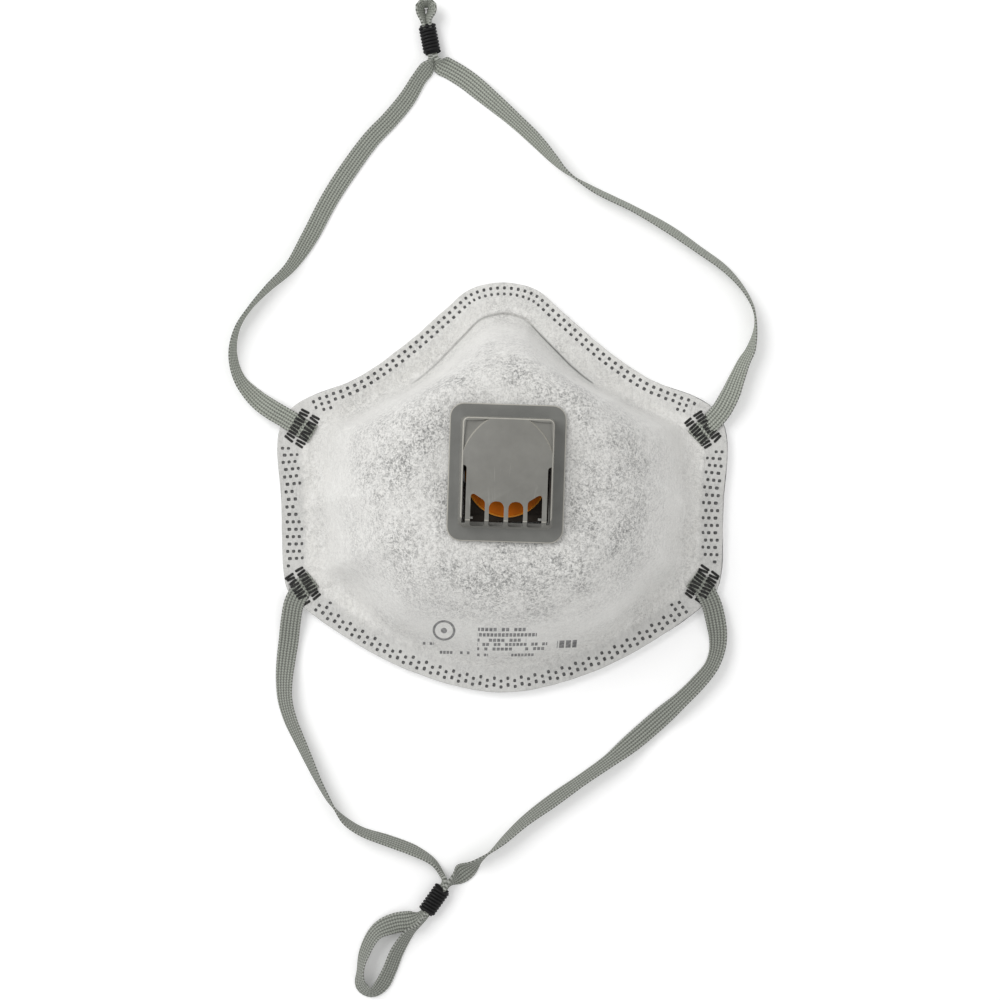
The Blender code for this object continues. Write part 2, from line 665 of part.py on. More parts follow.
def make_valve_seat(base, foot):
    """Plate inside the cover, with the port's ridge and spokes, a ledge at the chin and a neck below."""
    room = HOUSING_WALL + CLEARANCE
    rise = (SEAT_THICKNESS + LEDGE_HEIGHT + MM) / (BRIM_THICKNESS + HOUSING_HEIGHT)
    chin_room = CHIN_DRAFT * rise
    width = HOUSING_WIDTH - 2 * room
    length = HOUSING_LENGTH - 2 * room - chin_room
    seat_y = VALVE_Y + chin_room / 2
    plate_top = base + SEAT_THICKNESS
    bm = bmesh.new()
    box(bm, (width, length, SEAT_THICKNESS), (0, seat_y, base + SEAT_THICKNESS / 2), corner=SEAT_CORNER)
    look = material("valve_seat", (0.2, 0.19, 0.18), 0.5)
    seat = add_part("valve_seat", mesh_from(bm, "valve_seat"), look)

    overlap = SEAT_THICKNESS / 2
    ridge_top = plate_top + SEAT_RIDGE_HEIGHT
    rounds = (
        ("seat_ridge", disc(PORT_RADIUS + SEAT_RIDGE, plate_top - overlap, ridge_top), "UNION"),
        ("seat_neck", disc(NECK_RADIUS, foot, base + overlap), "UNION"),
        ("seat_port", disc(PORT_RADIUS, foot - MM, ridge_top + MM), "DIFFERENCE"),
    )
    for name, bm, operation in rounds:
        boolean(seat, add_cutter(name, mesh_from(bm, name)), operation)

    span = 2 * PORT_RADIUS + SEAT_RIDGE
    for index, size in enumerate(((span, SPOKE_WIDTH), (SPOKE_WIDTH, span))):
        bm = bmesh.new()
        box(bm, (*size, SEAT_THICKNESS * SPOKE_SHARE), (0, PORT_Y, base + SEAT_THICKNESS / 2))
        boolean(seat, add_cutter(f"seat_spoke_{index}", mesh_from(bm, f"seat_spoke_{index}")), "UNION")
    bm = bmesh.new()
    ledge_y = seat_y - length / 2 + LEDGE_WIDTH / 2
    ledge_size = (width - 2 * SEAT_CORNER, LEDGE_WIDTH, LEDGE_HEIGHT + overlap)
    box(bm, ledge_size, (0, ledge_y, plate_top + (LEDGE_HEIGHT - overlap) / 2))
    boolean(seat, add_cutter("seat_ledge", mesh_from(bm, "seat_ledge")), "UNION")


def make_valve_diaphragm(base):
    """Flap that lies on the seat's ridge. Its origin is on the hinge line at the nose side."""
    low = base + SEAT_THICKNESS + SEAT_RIDGE_HEIGHT + CLEARANCE
    bm = disc(FLAP_RADIUS, low, low + FLAP_THICKNESS)
    hinge = Vector((0, PORT_Y + FLAP_RADIUS, low))
    bmesh.ops.translate(bm, verts=bm.verts, vec=-hinge)
    look = material("valve_diaphragm", (0.75, 0.24, 0.01), 0.5)
    obj = add_part("valve_diaphragm", mesh_from(bm, "valve_diaphragm"), look)
    obj.location = hinge


def make_valve_inner_ring():
    """Flat ring inside the cup that the neck is fixed to."""
    high = CUP_INSIDE_HEIGHT - CLEARANCE
    low = high - RING_THICKNESS
    bm = disc(NECK_RADIUS + CLEARANCE + RING_WIDTH, low, high)
    look = material("valve_inner_ring", (0.30, 0.30, 0.285), 0.45)
    ring = add_part("valve_inner_ring", mesh_from(bm, "valve_inner_ring"), look)
    bm = disc(NECK_RADIUS + CLEARANCE, low - MM, high + MM)
    boolean(ring, add_cutter("ring_bore", mesh_from(bm, "ring_bore")), "DIFFERENCE")
    return low


# ---------- Straps ----------


def make_strap(name, route):
    """Flat elastic along a smooth curve through its route."""
    points = []
    for x, y, lean, lift, size in route:
        angle = math.radians(lean)
        half_height = abs(math.sin(angle)) * STRAP_WIDTH + abs(math.cos(angle)) * STRAP_THICKNESS
        z = half_height * size / 2 + STRAP_REST + lift * MM
        points.append((x * MM, y * MM, z, angle * MM, size * MM))
    points = resampled(smooth_curve(points), STRAP_POINTS, axes=3)
    curve = bpy.data.curves.new(name, "CURVE")
    curve.dimensions = "3D"
    curve.twist_mode = "Z_UP"
    curve.bevel_depth = STRAP_THICKNESS / 2
    curve.bevel_resolution = 0
    curve.extrude = (STRAP_WIDTH - STRAP_THICKNESS) / 2
    curve.use_fill_caps = True
    spline = curve.splines.new("POLY")
    spline.points.add(STRAP_POINTS - 1)
    for target, point in zip(spline.points, points):
        target.co = (*point[:3], 1)
        target.tilt = point[3] / MM - math.pi / 2
        target.radius = point[4] / MM
    return add_part(name, curve, material(name, (0.36, 0.38, 0.34), 0.9))


def make_adjuster(name, mouth, end):
    """Ribbed sleeve: a profile turned around its local Z axis and laid along the strap."""
    half = ADJUSTER_LENGTH / 2
    pitch = ADJUSTER_LENGTH / ADJUSTER_RIBS
    outer = []
    for rib in range(ADJUSTER_RIBS):
        top = half - rib * pitch
        outer += [(ADJUSTER_RADIUS - ADJUSTER_GROOVE, top), (ADJUSTER_RADIUS, top - pitch / 2)]
    outer.append((ADJUSTER_RADIUS - ADJUSTER_GROOVE, -half))
    profile = [*outer, (ADJUSTER_BORE, -half), (ADJUSTER_BORE, half)]
    bm = bmesh.new()
    verts = [bm.verts.new((x, 0, z)) for x, z in profile]
    for a, b in zip(verts, verts[1:] + verts[:1]):
        bm.edges.new((a, b))
    obj = add_part(name, mesh_from(bm, name), material(name, (0.012, 0.012, 0.013), 0.6))
    screw = obj.modifiers.new("turned", "SCREW")
    screw.steps = screw.render_steps = ADJUSTER_SEGMENTS
    screw.use_merge_vertices = True
    screw.merge_threshold = 0.01 * MM
    axis = Vector(end) - Vector(mouth)
    height = ADJUSTER_RADIUS * ADJUSTER_FLATNESS + STRAP_REST
    obj.location = ((Vector(mouth) + Vector(end)) / 2).to_3d() + Vector((0, 0, height))
    obj.rotation_euler = (-math.pi / 2, 0, math.atan2(-axis.x, axis.y))
    obj.scale = (1, ADJUSTER_FLATNESS, 1)


def build():
    offsets, stack = layer_offsets()
    for name, thickness, colour in LAYERS:
        make_layer(name, offsets[name], thickness, colour)
    make_nose_clip(offsets["outer_cover"])
    make_nose_foam()
    valve_base = CUP_INSIDE_HEIGHT + stack + CLEARANCE
    make_valve_cover(valve_base)
    ring_bottom = make_valve_inner_ring()
    make_valve_seat(valve_base, ring_bottom - NECK_FOOT)
    make_valve_diaphragm(valve_base)
    make_strap("upper_strap", UPPER_ROUTE)
    make_strap("lower_strap", LOWER_ROUTE)
    make_adjuster("upper_adjuster", *UPPER_ADJUSTER)
    make_adjuster("lower_adjuster", *LOWER_ADJUSTER)


PARTS, CUTTERS = start_scene()
build()
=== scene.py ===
import math
import random

import bmesh
import bpy
from mathutils import Matrix, Vector, noise
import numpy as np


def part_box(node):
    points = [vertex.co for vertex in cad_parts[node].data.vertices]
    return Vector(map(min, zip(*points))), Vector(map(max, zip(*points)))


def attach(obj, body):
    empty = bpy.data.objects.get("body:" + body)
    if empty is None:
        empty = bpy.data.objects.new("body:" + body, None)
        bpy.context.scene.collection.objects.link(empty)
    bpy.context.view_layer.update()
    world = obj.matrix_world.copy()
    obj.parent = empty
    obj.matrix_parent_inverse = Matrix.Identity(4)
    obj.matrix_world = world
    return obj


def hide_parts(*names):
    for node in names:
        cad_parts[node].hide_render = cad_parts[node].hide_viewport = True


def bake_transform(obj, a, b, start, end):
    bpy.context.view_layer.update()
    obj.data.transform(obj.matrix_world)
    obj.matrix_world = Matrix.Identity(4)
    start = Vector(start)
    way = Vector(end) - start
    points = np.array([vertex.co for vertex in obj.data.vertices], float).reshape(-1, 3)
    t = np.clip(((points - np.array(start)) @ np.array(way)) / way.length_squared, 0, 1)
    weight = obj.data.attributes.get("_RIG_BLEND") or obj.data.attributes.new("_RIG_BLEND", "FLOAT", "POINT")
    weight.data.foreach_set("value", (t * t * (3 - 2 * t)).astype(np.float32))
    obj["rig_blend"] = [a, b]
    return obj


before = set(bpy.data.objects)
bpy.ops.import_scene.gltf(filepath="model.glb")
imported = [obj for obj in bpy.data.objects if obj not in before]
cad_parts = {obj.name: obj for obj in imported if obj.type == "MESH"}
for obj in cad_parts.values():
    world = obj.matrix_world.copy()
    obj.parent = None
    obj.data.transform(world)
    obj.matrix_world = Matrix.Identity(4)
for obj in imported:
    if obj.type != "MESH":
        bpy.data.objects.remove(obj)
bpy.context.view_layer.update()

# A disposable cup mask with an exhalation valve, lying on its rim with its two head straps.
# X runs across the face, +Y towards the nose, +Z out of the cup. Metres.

# The dents in the felt are the same on every run.
noise.seed_set(7)
MM = 0.001

# Cup
MASK_WIDTH = 134 * MM
MASK_HEIGHT = 122 * MM
FLANGE_WIDTH = 6 * MM
NOSE_BAND_WIDTH = 8.7 * MM
NOSE_BAND_REACH = 46 * MM
WELD_PAD_WIDTH = 11.5 * MM
WELD_PAD_REACH = 32 * MM
FOOT_LENGTH = 9 * MM
SHOULDER_SHARE = 0.70
HALF_OUTLINE = (
    (0.0, 1.0),
    (0.145, 0.967),
    (0.254, 0.869),
    (0.407, 0.721),
    (0.519, 0.625),
    (0.660, 0.526),
    (0.870, 0.435),
    (0.945, 0.378),
    (0.985, 0.300),
    (1.0, 0.200),
    (0.982, -0.061),
    (0.970, -0.430),
    (0.945, -0.515),
    (0.806, -0.649),
    (0.516, -0.844),
    (0.290, -0.943),
    (0.134, -0.986),
    (0.0, -1.0),
)
OUTLINE_SAMPLES = 960
COVER_COLUMNS = 368
LAYER_COLUMNS = 184
PIT_INSETS = (1.05, 2.8, 4.55)
PIT_DEPTH = 0.22 * MM
PIT_SHIFT = 0.85 * MM
FOLD_SHARE = 0.3
SHOULDER_GROWTH = 0.64

# Height of each layer's inner face above the cup's inside, and its thickness
LAYERS = {
    "inner_lining": (0.0, 0.4 * MM),
    "support_shell": (0.6 * MM, 0.8 * MM),
    "filter_layer": (1.6 * MM, 0.3 * MM),
    "carbon_layer": (2.1 * MM, 0.4 * MM),
    "outer_cover": (2.7 * MM, 0.4 * MM),
}
COVER_TOP = sum(LAYERS["outer_cover"])
CUP_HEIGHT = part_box("outer_cover")[1].z - COVER_TOP

# Nose band over the clip
CLIP_RISE = 0.9 * MM
CLIP_REACH = 38 * MM
CREASE_INSET = 9.3 * MM
CREASE_DROP = 1.5 * MM
CREASE_REACH = 43 * MM

# Valve
VALVE_LOW, VALVE_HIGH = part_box("valve_cover")
VALVE_X, VALVE_Y = ((VALVE_LOW + VALVE_HIGH) / 2).xy
VALVE_TURN = math.radians(-1.8)
DISC_LOW, DISC_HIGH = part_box("valve_diaphragm")
PORT_Y = (DISC_LOW.y + DISC_HIGH.y) / 2
BRIM_MARGIN = 1.2 * MM
BRIM_CORNER = 4 * MM
BRIM_THICKNESS = 1.5 * MM
HOLE_RADIUS = 12.3 * MM

# Straps
STRAP_WIDTH = 6 * MM
STRAP_THICKNESS = 0.7 * MM
STRAP_STATIONS = 400
STRAP_RIBS = 6
STITCH_LENGTH = 0.78
EDGE_DASH = 0.95
BUNCHED = 0.4
STRAP_REST = 0.05 * MM
FOAM_LENGTH = 84 * MM
ADJUSTER_RADIUS = 2.65 * MM
ADJUSTER_BORE = 2.05 * MM
ADJUSTER_FLATNESS = 0.87
UPPER_ADJUSTER = ((-20.9 * MM, 129.0 * MM), (-22.6 * MM, 137.7 * MM))
LOWER_ADJUSTER = ((-17.7 * MM, -119.1 * MM), (-22.9 * MM, -126.4 * MM))
UPPER_STRETCH = ((-20 * MM, 29 * MM, 0.0), (-20 * MM, 126.5 * MM, 0.0))
LOWER_STRETCH = ((-16 * MM, -38 * MM, 0.0), (-16 * MM, -116.3 * MM, 0.0))
WELD_BARS = 10
WELD_PITCH = 1.06 * MM
WELD_ROW_GAP = 3.6 * MM
WELD_BAR_LENGTH = 3.0 * MM

# Print below the valve: rows of (left, right, middle, height, step), and a ring with a dot
PRINT_ROWS = tuple(
    tuple(value * MM for value in row)
    for row in (
        (-7.8, 6.4, -41.2, 1.1, 1.2),
        (-7.8, 9.4, -42.9, 1.1, 1.1),
        (-7.8, 6.4, -44.6, 1.0, 1.2),
        (-7.8, 12.8, -46.0, 1.0, 1.1),
        (-7.8, 12.0, -47.5, 1.0, 1.2),
        (15.8, 21.8, -46.3, 2.4, 2.0),
        (-24.7, -20.6, -46.2, 0.9, 1.0),
        (-19.0, -9.8, -48.9, 0.95, 1.0),
        (-8.0, -4.5, -49.5, 0.9, 1.0),
        (2.3, 9.0, -49.5, 0.9, 1.0),
    )
)
PRINT_RING = (-17.6 * MM, -41.8 * MM, 2.6 * MM, 3.3 * MM, 0.9 * MM)

# Camera straight above, and soft studio light
CAMERA_AIM = Vector((-0.75 * MM, -3.73 * MM, 0))
CAMERA_HEIGHT = 0.9
CAMERA_ASIDE = -0.022
FRAME_WIDTH = 0.2985
WORLD_STRENGTH = 0.62
LAMPS = (
    ("overhead", (-0.8, 0.55, 1.1), 0.9, 11.0),
    ("fill", (0.8, -0.3, 1.0), 1.2, 2.5),
)

# Strap routes in millimetres: x, y, lean in degrees, lift above lying on the ground, size.
# A lean of 0 lies flat, and at 90 the strap stands on its edge with its left edge up.
UPPER_ROUTE = (
    (-56.5, 15.8, 0, 3.05, 1),
    (-59.6, 17.6, 0, 3.05, 1),
    (-64.6, 20.7, 2, 3.05, 1),
    (-69.0, 23.3, 8, 3.0, 1),
    (-73.4, 26.6, 28, 0.9, 1),
    (-78.2, 32.2, 56, 0, 1),
    (-80.2, 39.6, 69, 0, 1),
    (-79.0, 47.0, 80, 0, 1),
    (-75.4, 53.0, 85, 0, 1),
    (-70.0, 59.0, 75, 0, 1),
    (-63.3, 65.4, 60, 0, 1),
    (-57.8, 73.9, 38, 0, 1),
    (-51.5, 85.8, 32, 0, 1),
    (-45.7, 94.8, 29, 0, 1),
    (-39.1, 103.7, 33, 0, 1),
    (-33.4, 109.7, 35, 0, 1),
    (-28.5, 115.7, 36, 0, 1),
    (-24.9, 121.6, 45, 0, 1),
    (-22.2, 125.2, 50, 0, 1),
    (-21.3, 127.4, 80, 0.7, 0.55),
    (-22.35, 133.2, 90, 1.1, BUNCHED),
    (-23.5, 139.1, 65, 0.6, 0.8),
    (-24.4, 141.2, 62, 0.3, 0.9),
    (-24.2, 143.2, 60, 0.3, 1),
    (-22.8, 144.1, 75, 0.2, 0.8),
    (-21.4, 143.3, 60, 0.3, 1),
    (-21.2, 141.4, 62, 0.3, 0.9),
    (-22.3, 139.3, 65, 0.6, 0.8),
    (-21.15, 133.5, 90, 1.1, BUNCHED),
    (-20.0, 127.6, 80, 0.7, 0.55),
    (-18.6, 126.1, 30, 0, 1),
    (-15.6, 124.6, 15, 0, 1),
    (-10.7, 121.6, 6, 0, 1),
    (-3.6, 115.7, 30, 0, 1),
    (3.3, 109.7, 47, 0, 1),
    (9.7, 103.7, 54, 0, 1),
    (15.2, 97.8, 70, 0, 1),
    (19.0, 94.0, 88, 0, 1),
    (27.0, 88.8, 110, 0, 1),
    (39.3, 82.8, 113, 0, 1),
    (49.7, 76.9, 120, 0, 1),
    (58.4, 70.9, 117, 0, 1),
    (66.6, 64.9, 114, 0, 1),
    (72.1, 58.6, 105, 0, 1),
    (74.9, 53.0, 99, 0, 1),
    (75.4, 47.6, 90, 0, 1),
    (73.9, 41.0, 66, 0, 1),
    (72.0, 37.6, 56, 0.3, 1),
    (69.6, 32.1, 40, 1.3, 1),
    (67.6, 27.4, 22, 2.7, 1),
    (64.6, 22.2, 6, 3.05, 1),
    (59.6, 17.0, 0, 3.05, 1),
    (57.2, 14.6, 0, 3.05, 1),
)
LOWER_ROUTE = (
    (-56.4, -27.2, 0, 3.05, 1),
    (-59.3, -29.6, 0, 3.05, 1),
    (-61.9, -34.0, 0, 3.05, 1),
    (-63.0, -39.6, 0, 2.6, 1),
    (-63.7, -45.5, 6, 1.0, 1),
    (-64.5, -51.5, 18, 0, 1),
    (-65.0, -57.5, 32, 0, 1),
    (-64.7, -63.4, 41, 0, 1),
    (-63.0, -69.4, 47, 0, 1),
    (-60.3, -75.4, 54, 0, 1),
    (-57.6, -81.3, 61, 0, 1),
    (-54.8, -87.3, 70, 0, 1),
    (-51.5, -93.3, 78, 0, 1),
    (-49.4, -96.3, 90, 0, 1),
    (-46.9, -99.1, 104, 0, 1),
    (-42.2, -102.2, 110, 0, 1),
    (-33.7, -105.2, 119, 0, 1),
    (-26.0, -108.2, 118, 0, 0.95),
    (-20.6, -111.6, 105, 0, 0.8),
    (-18.2, -115.2, 92, 0, 0.6),
    (-17.3, -117.5, 80, 0.8, 0.6),
    (-20.8, -122.4, 90, 1.1, BUNCHED),
    (-24.3, -127.3, 65, 0.8, 0.75),
    (-27.6, -128.8, 15, 2.0, 1),
    (-32.0, -129.6, 10, 1.4, 1),
    (-37.6, -132.2, 45, 0.3, 1),
    (-41.0, -138.0, 57, 0, 1),
    (-42.4, -144.2, 70, 0, 1),
    (-41.9, -148.4, 50, 0, 1),
    (-39.2, -150.2, 55, 0, 1),
    (-36.2, -148.2, 40, 0, 1),
    (-33.7, -143.6, 42, 0, 1),
    (-31.5, -138.2, 45, 0, 1),
    (-28.0, -132.6, 58, 0, 1),
    (-25.2, -130.2, 75, 0.5, 0.8),
    (-23.3, -128.0, 75, 0.8, 0.7),
    (-19.8, -123.1, 90, 1.1, BUNCHED),
    (-16.3, -118.2, 75, 0.6, 0.7),
    (-14.8, -116.9, 56, 0, 0.85),
    (-12.1, -115.0, 12, 0, 1),
    (-7.6, -111.4, 66, 0, 1),
    (-3.3, -108.2, 88, 0, 1),
    (0.1, -105.2, 104, 0, 1),
    (6.6, -99.3, 116, 0, 1),
    (14.8, -93.3, 126, 0, 1),
    (23.3, -87.3, 121, 0, 1),
    (31.9, -81.3, 128, 0, 1),
    (39.4, -75.4, 156, 0, 1),
    (46.4, -69.4, 160, 0, 1),
    (53.1, -63.4, 138, 0, 1),
    (58.6, -57.9, 134, 0, 1),
    (62.2, -53.4, 130, 0, 1),
    (63.9, -49.0, 136, 0, 1),
    (64.2, -44.6, 150, 0.8, 1),
    (63.3, -39.0, 172, 2.6, 1),
    (61.9, -34.0, 180, 3.05, 1),
    (59.3, -29.6, 180, 3.05, 1),
    (56.4, -27.2, 180, 3.05, 1),
)
WELD_CENTRES = {
    "upper_left": Vector((-59.6 * MM, 17.6 * MM)),
    "upper_right": Vector((59.6 * MM, 17.2 * MM)),
    "lower_left": Vector((-59.4 * MM, -29.4 * MM)),
    "lower_right": Vector((59.4 * MM, -29.0 * MM)),
}
WELD_DIRECTIONS = {
    "upper_left": Vector((-0.86, 0.51)),
    "upper_right": Vector((0.78, 0.62)),
    "lower_left": Vector((-0.84, -0.54)),
    "lower_right": Vector((0.86, -0.51)),
}
SIZING_CENTRES = tuple(Vector((x * MM, y * MM)) for x in (-59.6, 59.6) for y in (17.6, -28.8))


# ---------- Curves ----------


def smooth_curve(points, closed=False, steps=24):
    """Centripetal Catmull-Rom curve through points of any dimension, as a dense list."""
    points = [Vector(p) for p in points]
    if closed:
        path = [points[-1], *points, points[0], points[1]]
    else:
        path = [2 * points[0] - points[1], *points, 2 * points[-1] - points[-2]]
    dense = []
    for p0, p1, p2, p3 in zip(path, path[1:], path[2:], path[3:]):
        t1 = math.sqrt((p1 - p0).length)
        t2 = t1 + math.sqrt((p2 - p1).length)
        t3 = t2 + math.sqrt((p3 - p2).length)
        for step in range(steps):
            t = t1 + (t2 - t1) * step / steps
            a = p0.lerp(p1, t / t1)
            b = p1.lerp(p2, (t - t1) / (t2 - t1))
            c = p2.lerp(p3, (t - t2) / (t3 - t2))
            d = a.lerp(b, t / t2)
            e = b.lerp(c, (t - t1) / (t3 - t1))
            dense.append(d.lerp(e, (t - t1) / (t2 - t1)))
    return dense if closed else [*dense, points[-1]]


def resampled(points, count, closed=False, axes=3):
    """Evenly spaced points along a polyline, measured on its first axes."""
    points = [*points, points[0]] if closed else points
    travelled = [0.0]
    for a, b in zip(points, points[1:]):
        travelled.append(travelled[-1] + Vector((b - a)[:axes]).length)
    spaces = count if closed else count - 1
    result, leg = [], 0
    for step in range(count):
        target = travelled[-1] * step / spaces
        while leg < len(points) - 2 and travelled[leg + 1] < target:
            leg += 1
        share = (target - travelled[leg]) / (travelled[leg + 1] - travelled[leg])
        result.append(points[leg].lerp(points[leg + 1], min(share, 1.0)))
    return result


def smoothstep(low, high, value):
    share = min(max((value - low) / (high - low), 0.0), 1.0)
    return share * share * (3 - 2 * share)


def bell(value, centre, width):
    return math.exp(-(((value - centre) / width) ** 2))


def rim_outline():
    right = [(x * MASK_WIDTH / 2, y * MASK_HEIGHT / 2) for x, y in HALF_OUTLINE]
    left = [(-x, y) for x, y in reversed(right[1:-1])]
    return resampled(smooth_curve(right + left, closed=True), OUTLINE_SAMPLES, closed=True, axes=2)


def ring_around(half_x, half_y, corner, centre_y):
    """Rounded rectangle, clockwise from its top middle, evenly spaced."""
    turns = ((1, 1, 90), (1, -1, 0), (-1, -1, -90), (-1, 1, -180))
    points = [Vector((0, half_y + centre_y))]
    for side_x, side_y, start in turns:
        middle = Vector((side_x * (half_x - corner), side_y * (half_y - corner) + centre_y))
        for step in range(9):
            angle = math.radians(start - 90 * step / 8)
            points.append(middle + corner * Vector((math.cos(angle), math.sin(angle))))
    return resampled(points, OUTLINE_SAMPLES, closed=True, axes=2)


# ---------- The cup's surface ----------

RIM = rim_outline()
PERIMETER = sum((a - b).length for a, b in zip(RIM, RIM[1:] + RIM[:1]))
PLATEAU = ring_around(
    (VALVE_HIGH - VALVE_LOW).x / 2 + BRIM_MARGIN,
    (VALVE_HIGH - VALVE_LOW).y / 2 + BRIM_MARGIN,
    BRIM_CORNER + BRIM_MARGIN,
    VALVE_Y,
)
HOLE = ring_around(HOLE_RADIUS, HOLE_RADIUS, HOLE_RADIUS, PORT_Y)


def along(ring, distance):
    """The point of an evenly spaced ring that belongs to a distance along the rim."""
    place = (distance / PERIMETER % 1.0) * len(ring)
    index = int(place)
    return ring[index % len(ring)].lerp(ring[(index + 1) % len(ring)], place - index)


class Station:
    """What the cup's surface needs at one distance along the rim, measured from the nose."""

    def __init__(self, distance):
        self.distance = distance
        self.rim = along(RIM, distance)
        ahead = along(RIM, distance + MM) - along(RIM, distance - MM)
        self.inward = Vector((ahead.y, -ahead.x)).normalized()
        self.top = along(PLATEAU, distance)
        self.hole = along(HOLE, distance)
        self.aim = (self.top - self.rim).normalized()
        self.from_nose = min(distance % PERIMETER, -distance % PERIMETER)
        nose = 1 - smoothstep(NOSE_BAND_REACH, 1.4 * NOSE_BAND_REACH, self.from_nose)
        nearest = min((self.rim - centre).length for centre in SIZING_CENTRES)
        self.pad = 1 - smoothstep(0.25 * WELD_PAD_REACH, WELD_PAD_REACH, nearest)
        wider = (nose * (NOSE_BAND_WIDTH - FLANGE_WIDTH), self.pad * (WELD_PAD_WIDTH - FLANGE_WIDTH))
        self.width = FLANGE_WIDTH + max(wider)

    def flat(self, inset):
        """Point of the flange at an inset: square to the rim at first, then towards the valve."""
        straight = min(inset, FLANGE_WIDTH)
        return self.rim + straight * self.inward + (inset - straight) * self.aim

    def wall(self, share, offset):
        """Point of the wall between the flange at share 0 and the valve's flat at 1."""
        foot = self.flat(self.width - FOLD_SHARE * offset)
        top = self.top - SHOULDER_GROWTH * offset * self.aim
        run = top - foot
        early, late = 3 * (1 - share) ** 2 * share, 3 * (1 - share) * share**2
        reach = early * FOOT_LENGTH / run.length + late * (1 - SHOULDER_SHARE) + share**3
        return (foot + run * reach).to_3d() + Vector((0, 0, offset + CUP_HEIGHT * (late + share**3)))

    def share_at(self, inset, offset):
        """The wall share that lies at an inset from the rim."""
        foot = self.width - FOLD_SHARE * offset
        if inset <= foot:
            return 0.0
        start = self.wall(0.0, offset).xy
        low, high = 0.0, 1.0
        for _ in range(22):
            middle = (low + high) / 2
            if (self.wall(middle, offset).xy - start).length < inset - foot:
                low = middle
            else:
                high = middle
        return low

    def at(self, inset, offset):
        share = self.share_at(inset, offset)
        return self.wall(share, offset) if share else self.flat(inset).to_3d() + Vector((0, 0, offset))


FLANGE_INSETS = (0, 0.35, 1.05, 2.15, 2.8, 3.9, 4.55, 5.65, 6.3, 7.4, 8.1)
FLANGE_INSETS += (8.7, 9.0, 9.3, 9.6, 9.9, 10.2, 10.5, 10.8, 11.1, 11.4, 11.7)
WALL_SHARES = (0.02, 0.05, 0.09, 0.13, 0.18, 0.23, 0.28, 0.33, 0.38, 0.43, 0.48, 0.53, 0.58, 0.63)
WALL_SHARES += (0.68, 0.73, 0.78, 0.83, 0.88, 0.92, 0.96, 1.0)
HOLE_SHARES = (0.04, 0.10, 0.2, 0.45, 1.0)
PLAIN_INSETS = (0, 1.0, 3.0, 5.0, 7.0, 9.3)


def cup_surface(columns, insets, offset, dents, proud):
    """A layer of the cup as an open grid. Returns the bmesh and its vertices by (column, row)."""
    rows = len(insets) + len(WALL_SHARES) + len(HOLE_SHARES)
    bm = bmesh.new()
    bmesh.ops.create_grid(bm, x_segments=columns, y_segments=rows - 1, size=0.5)
    for layer in ("mottle_and_painted_shade", "pressed", "brim", "crease_and_painted_shadow", "lip_and_painted_highlight"):
        bm.verts.layers.float.new(layer)
    number = bm.verts.layers.int.new("number")
    mottle_and_painted_shade, brim = bm.verts.layers.float["mottle_and_painted_shade"], bm.verts.layers.float["brim"]
    stations = [Station(column * PERIMETER / columns) for column in range(columns)]
    bases = [station.share_at(insets[-1] * MM, offset) for station in stations]
    for vert in bm.verts:
        column = round((vert.co.x + 0.5) * columns) % columns
        row = round((vert.co.y + 0.5) * (rows - 1))
        station = stations[column]
        vert[number] = row * columns + column
        if row < len(insets):
            inset = insets[row] * MM
            sides = 1 - smoothstep(NOSE_BAND_REACH, 2 * NOSE_BAND_REACH, station.from_nose)
            if 1 < row and PIT_SHIFT and column // 2 % 2 and columns == COVER_COLUMNS:
                inset += PIT_SHIFT * (1 - sides) * bell(insets[row], 4, 4)
            place = station.at(inset, offset)
            if not row:
                place -= (proud(station) * station.inward).to_3d()
            # This value sets the mottling: real mottle of thick felt, plus painted shade beside the valve
            # where it grows towards the plateau.
            vert[mottle_and_painted_shade] = 0.42
            vert[brim] = (1 - 0.75 * sides) * (1 - smoothstep(5.5, 7.5, insets[row]))
        elif row < len(insets) + len(WALL_SHARES):
            share = WALL_SHARES[row - len(insets)]
            base = bases[column]
            place = station.wall(base + (1 - base) * share, offset)
            vert[mottle_and_painted_shade] = 0.42 * (1 - smoothstep(0.0, 0.15, share)) + smoothstep(0.12, 0.8, share)
        else:
            share = HOLE_SHARES[row - len(insets) - len(WALL_SHARES)]
            place = station.wall(1.0, offset)
            place = place.lerp(station.hole.to_3d() + Vector((0, 0, place.z)), share)
            vert[mottle_and_painted_shade] = 1.0
        rise = smoothstep(0, 12 * MM, place.z)
        place += dents * rise * noise.noise_vector(place * 45)
        vert.co = place
    bmesh.ops.remove_doubles(bm, verts=bm.verts, dist=1e-7)
    bm.normal_update()
    if sum(face.normal.z for face in bm.faces) < 0:
        bmesh.ops.reverse_faces(bm, faces=bm.faces)
    return bm, {(vert[number] % columns, vert[number] // columns): vert for vert in bm.verts}


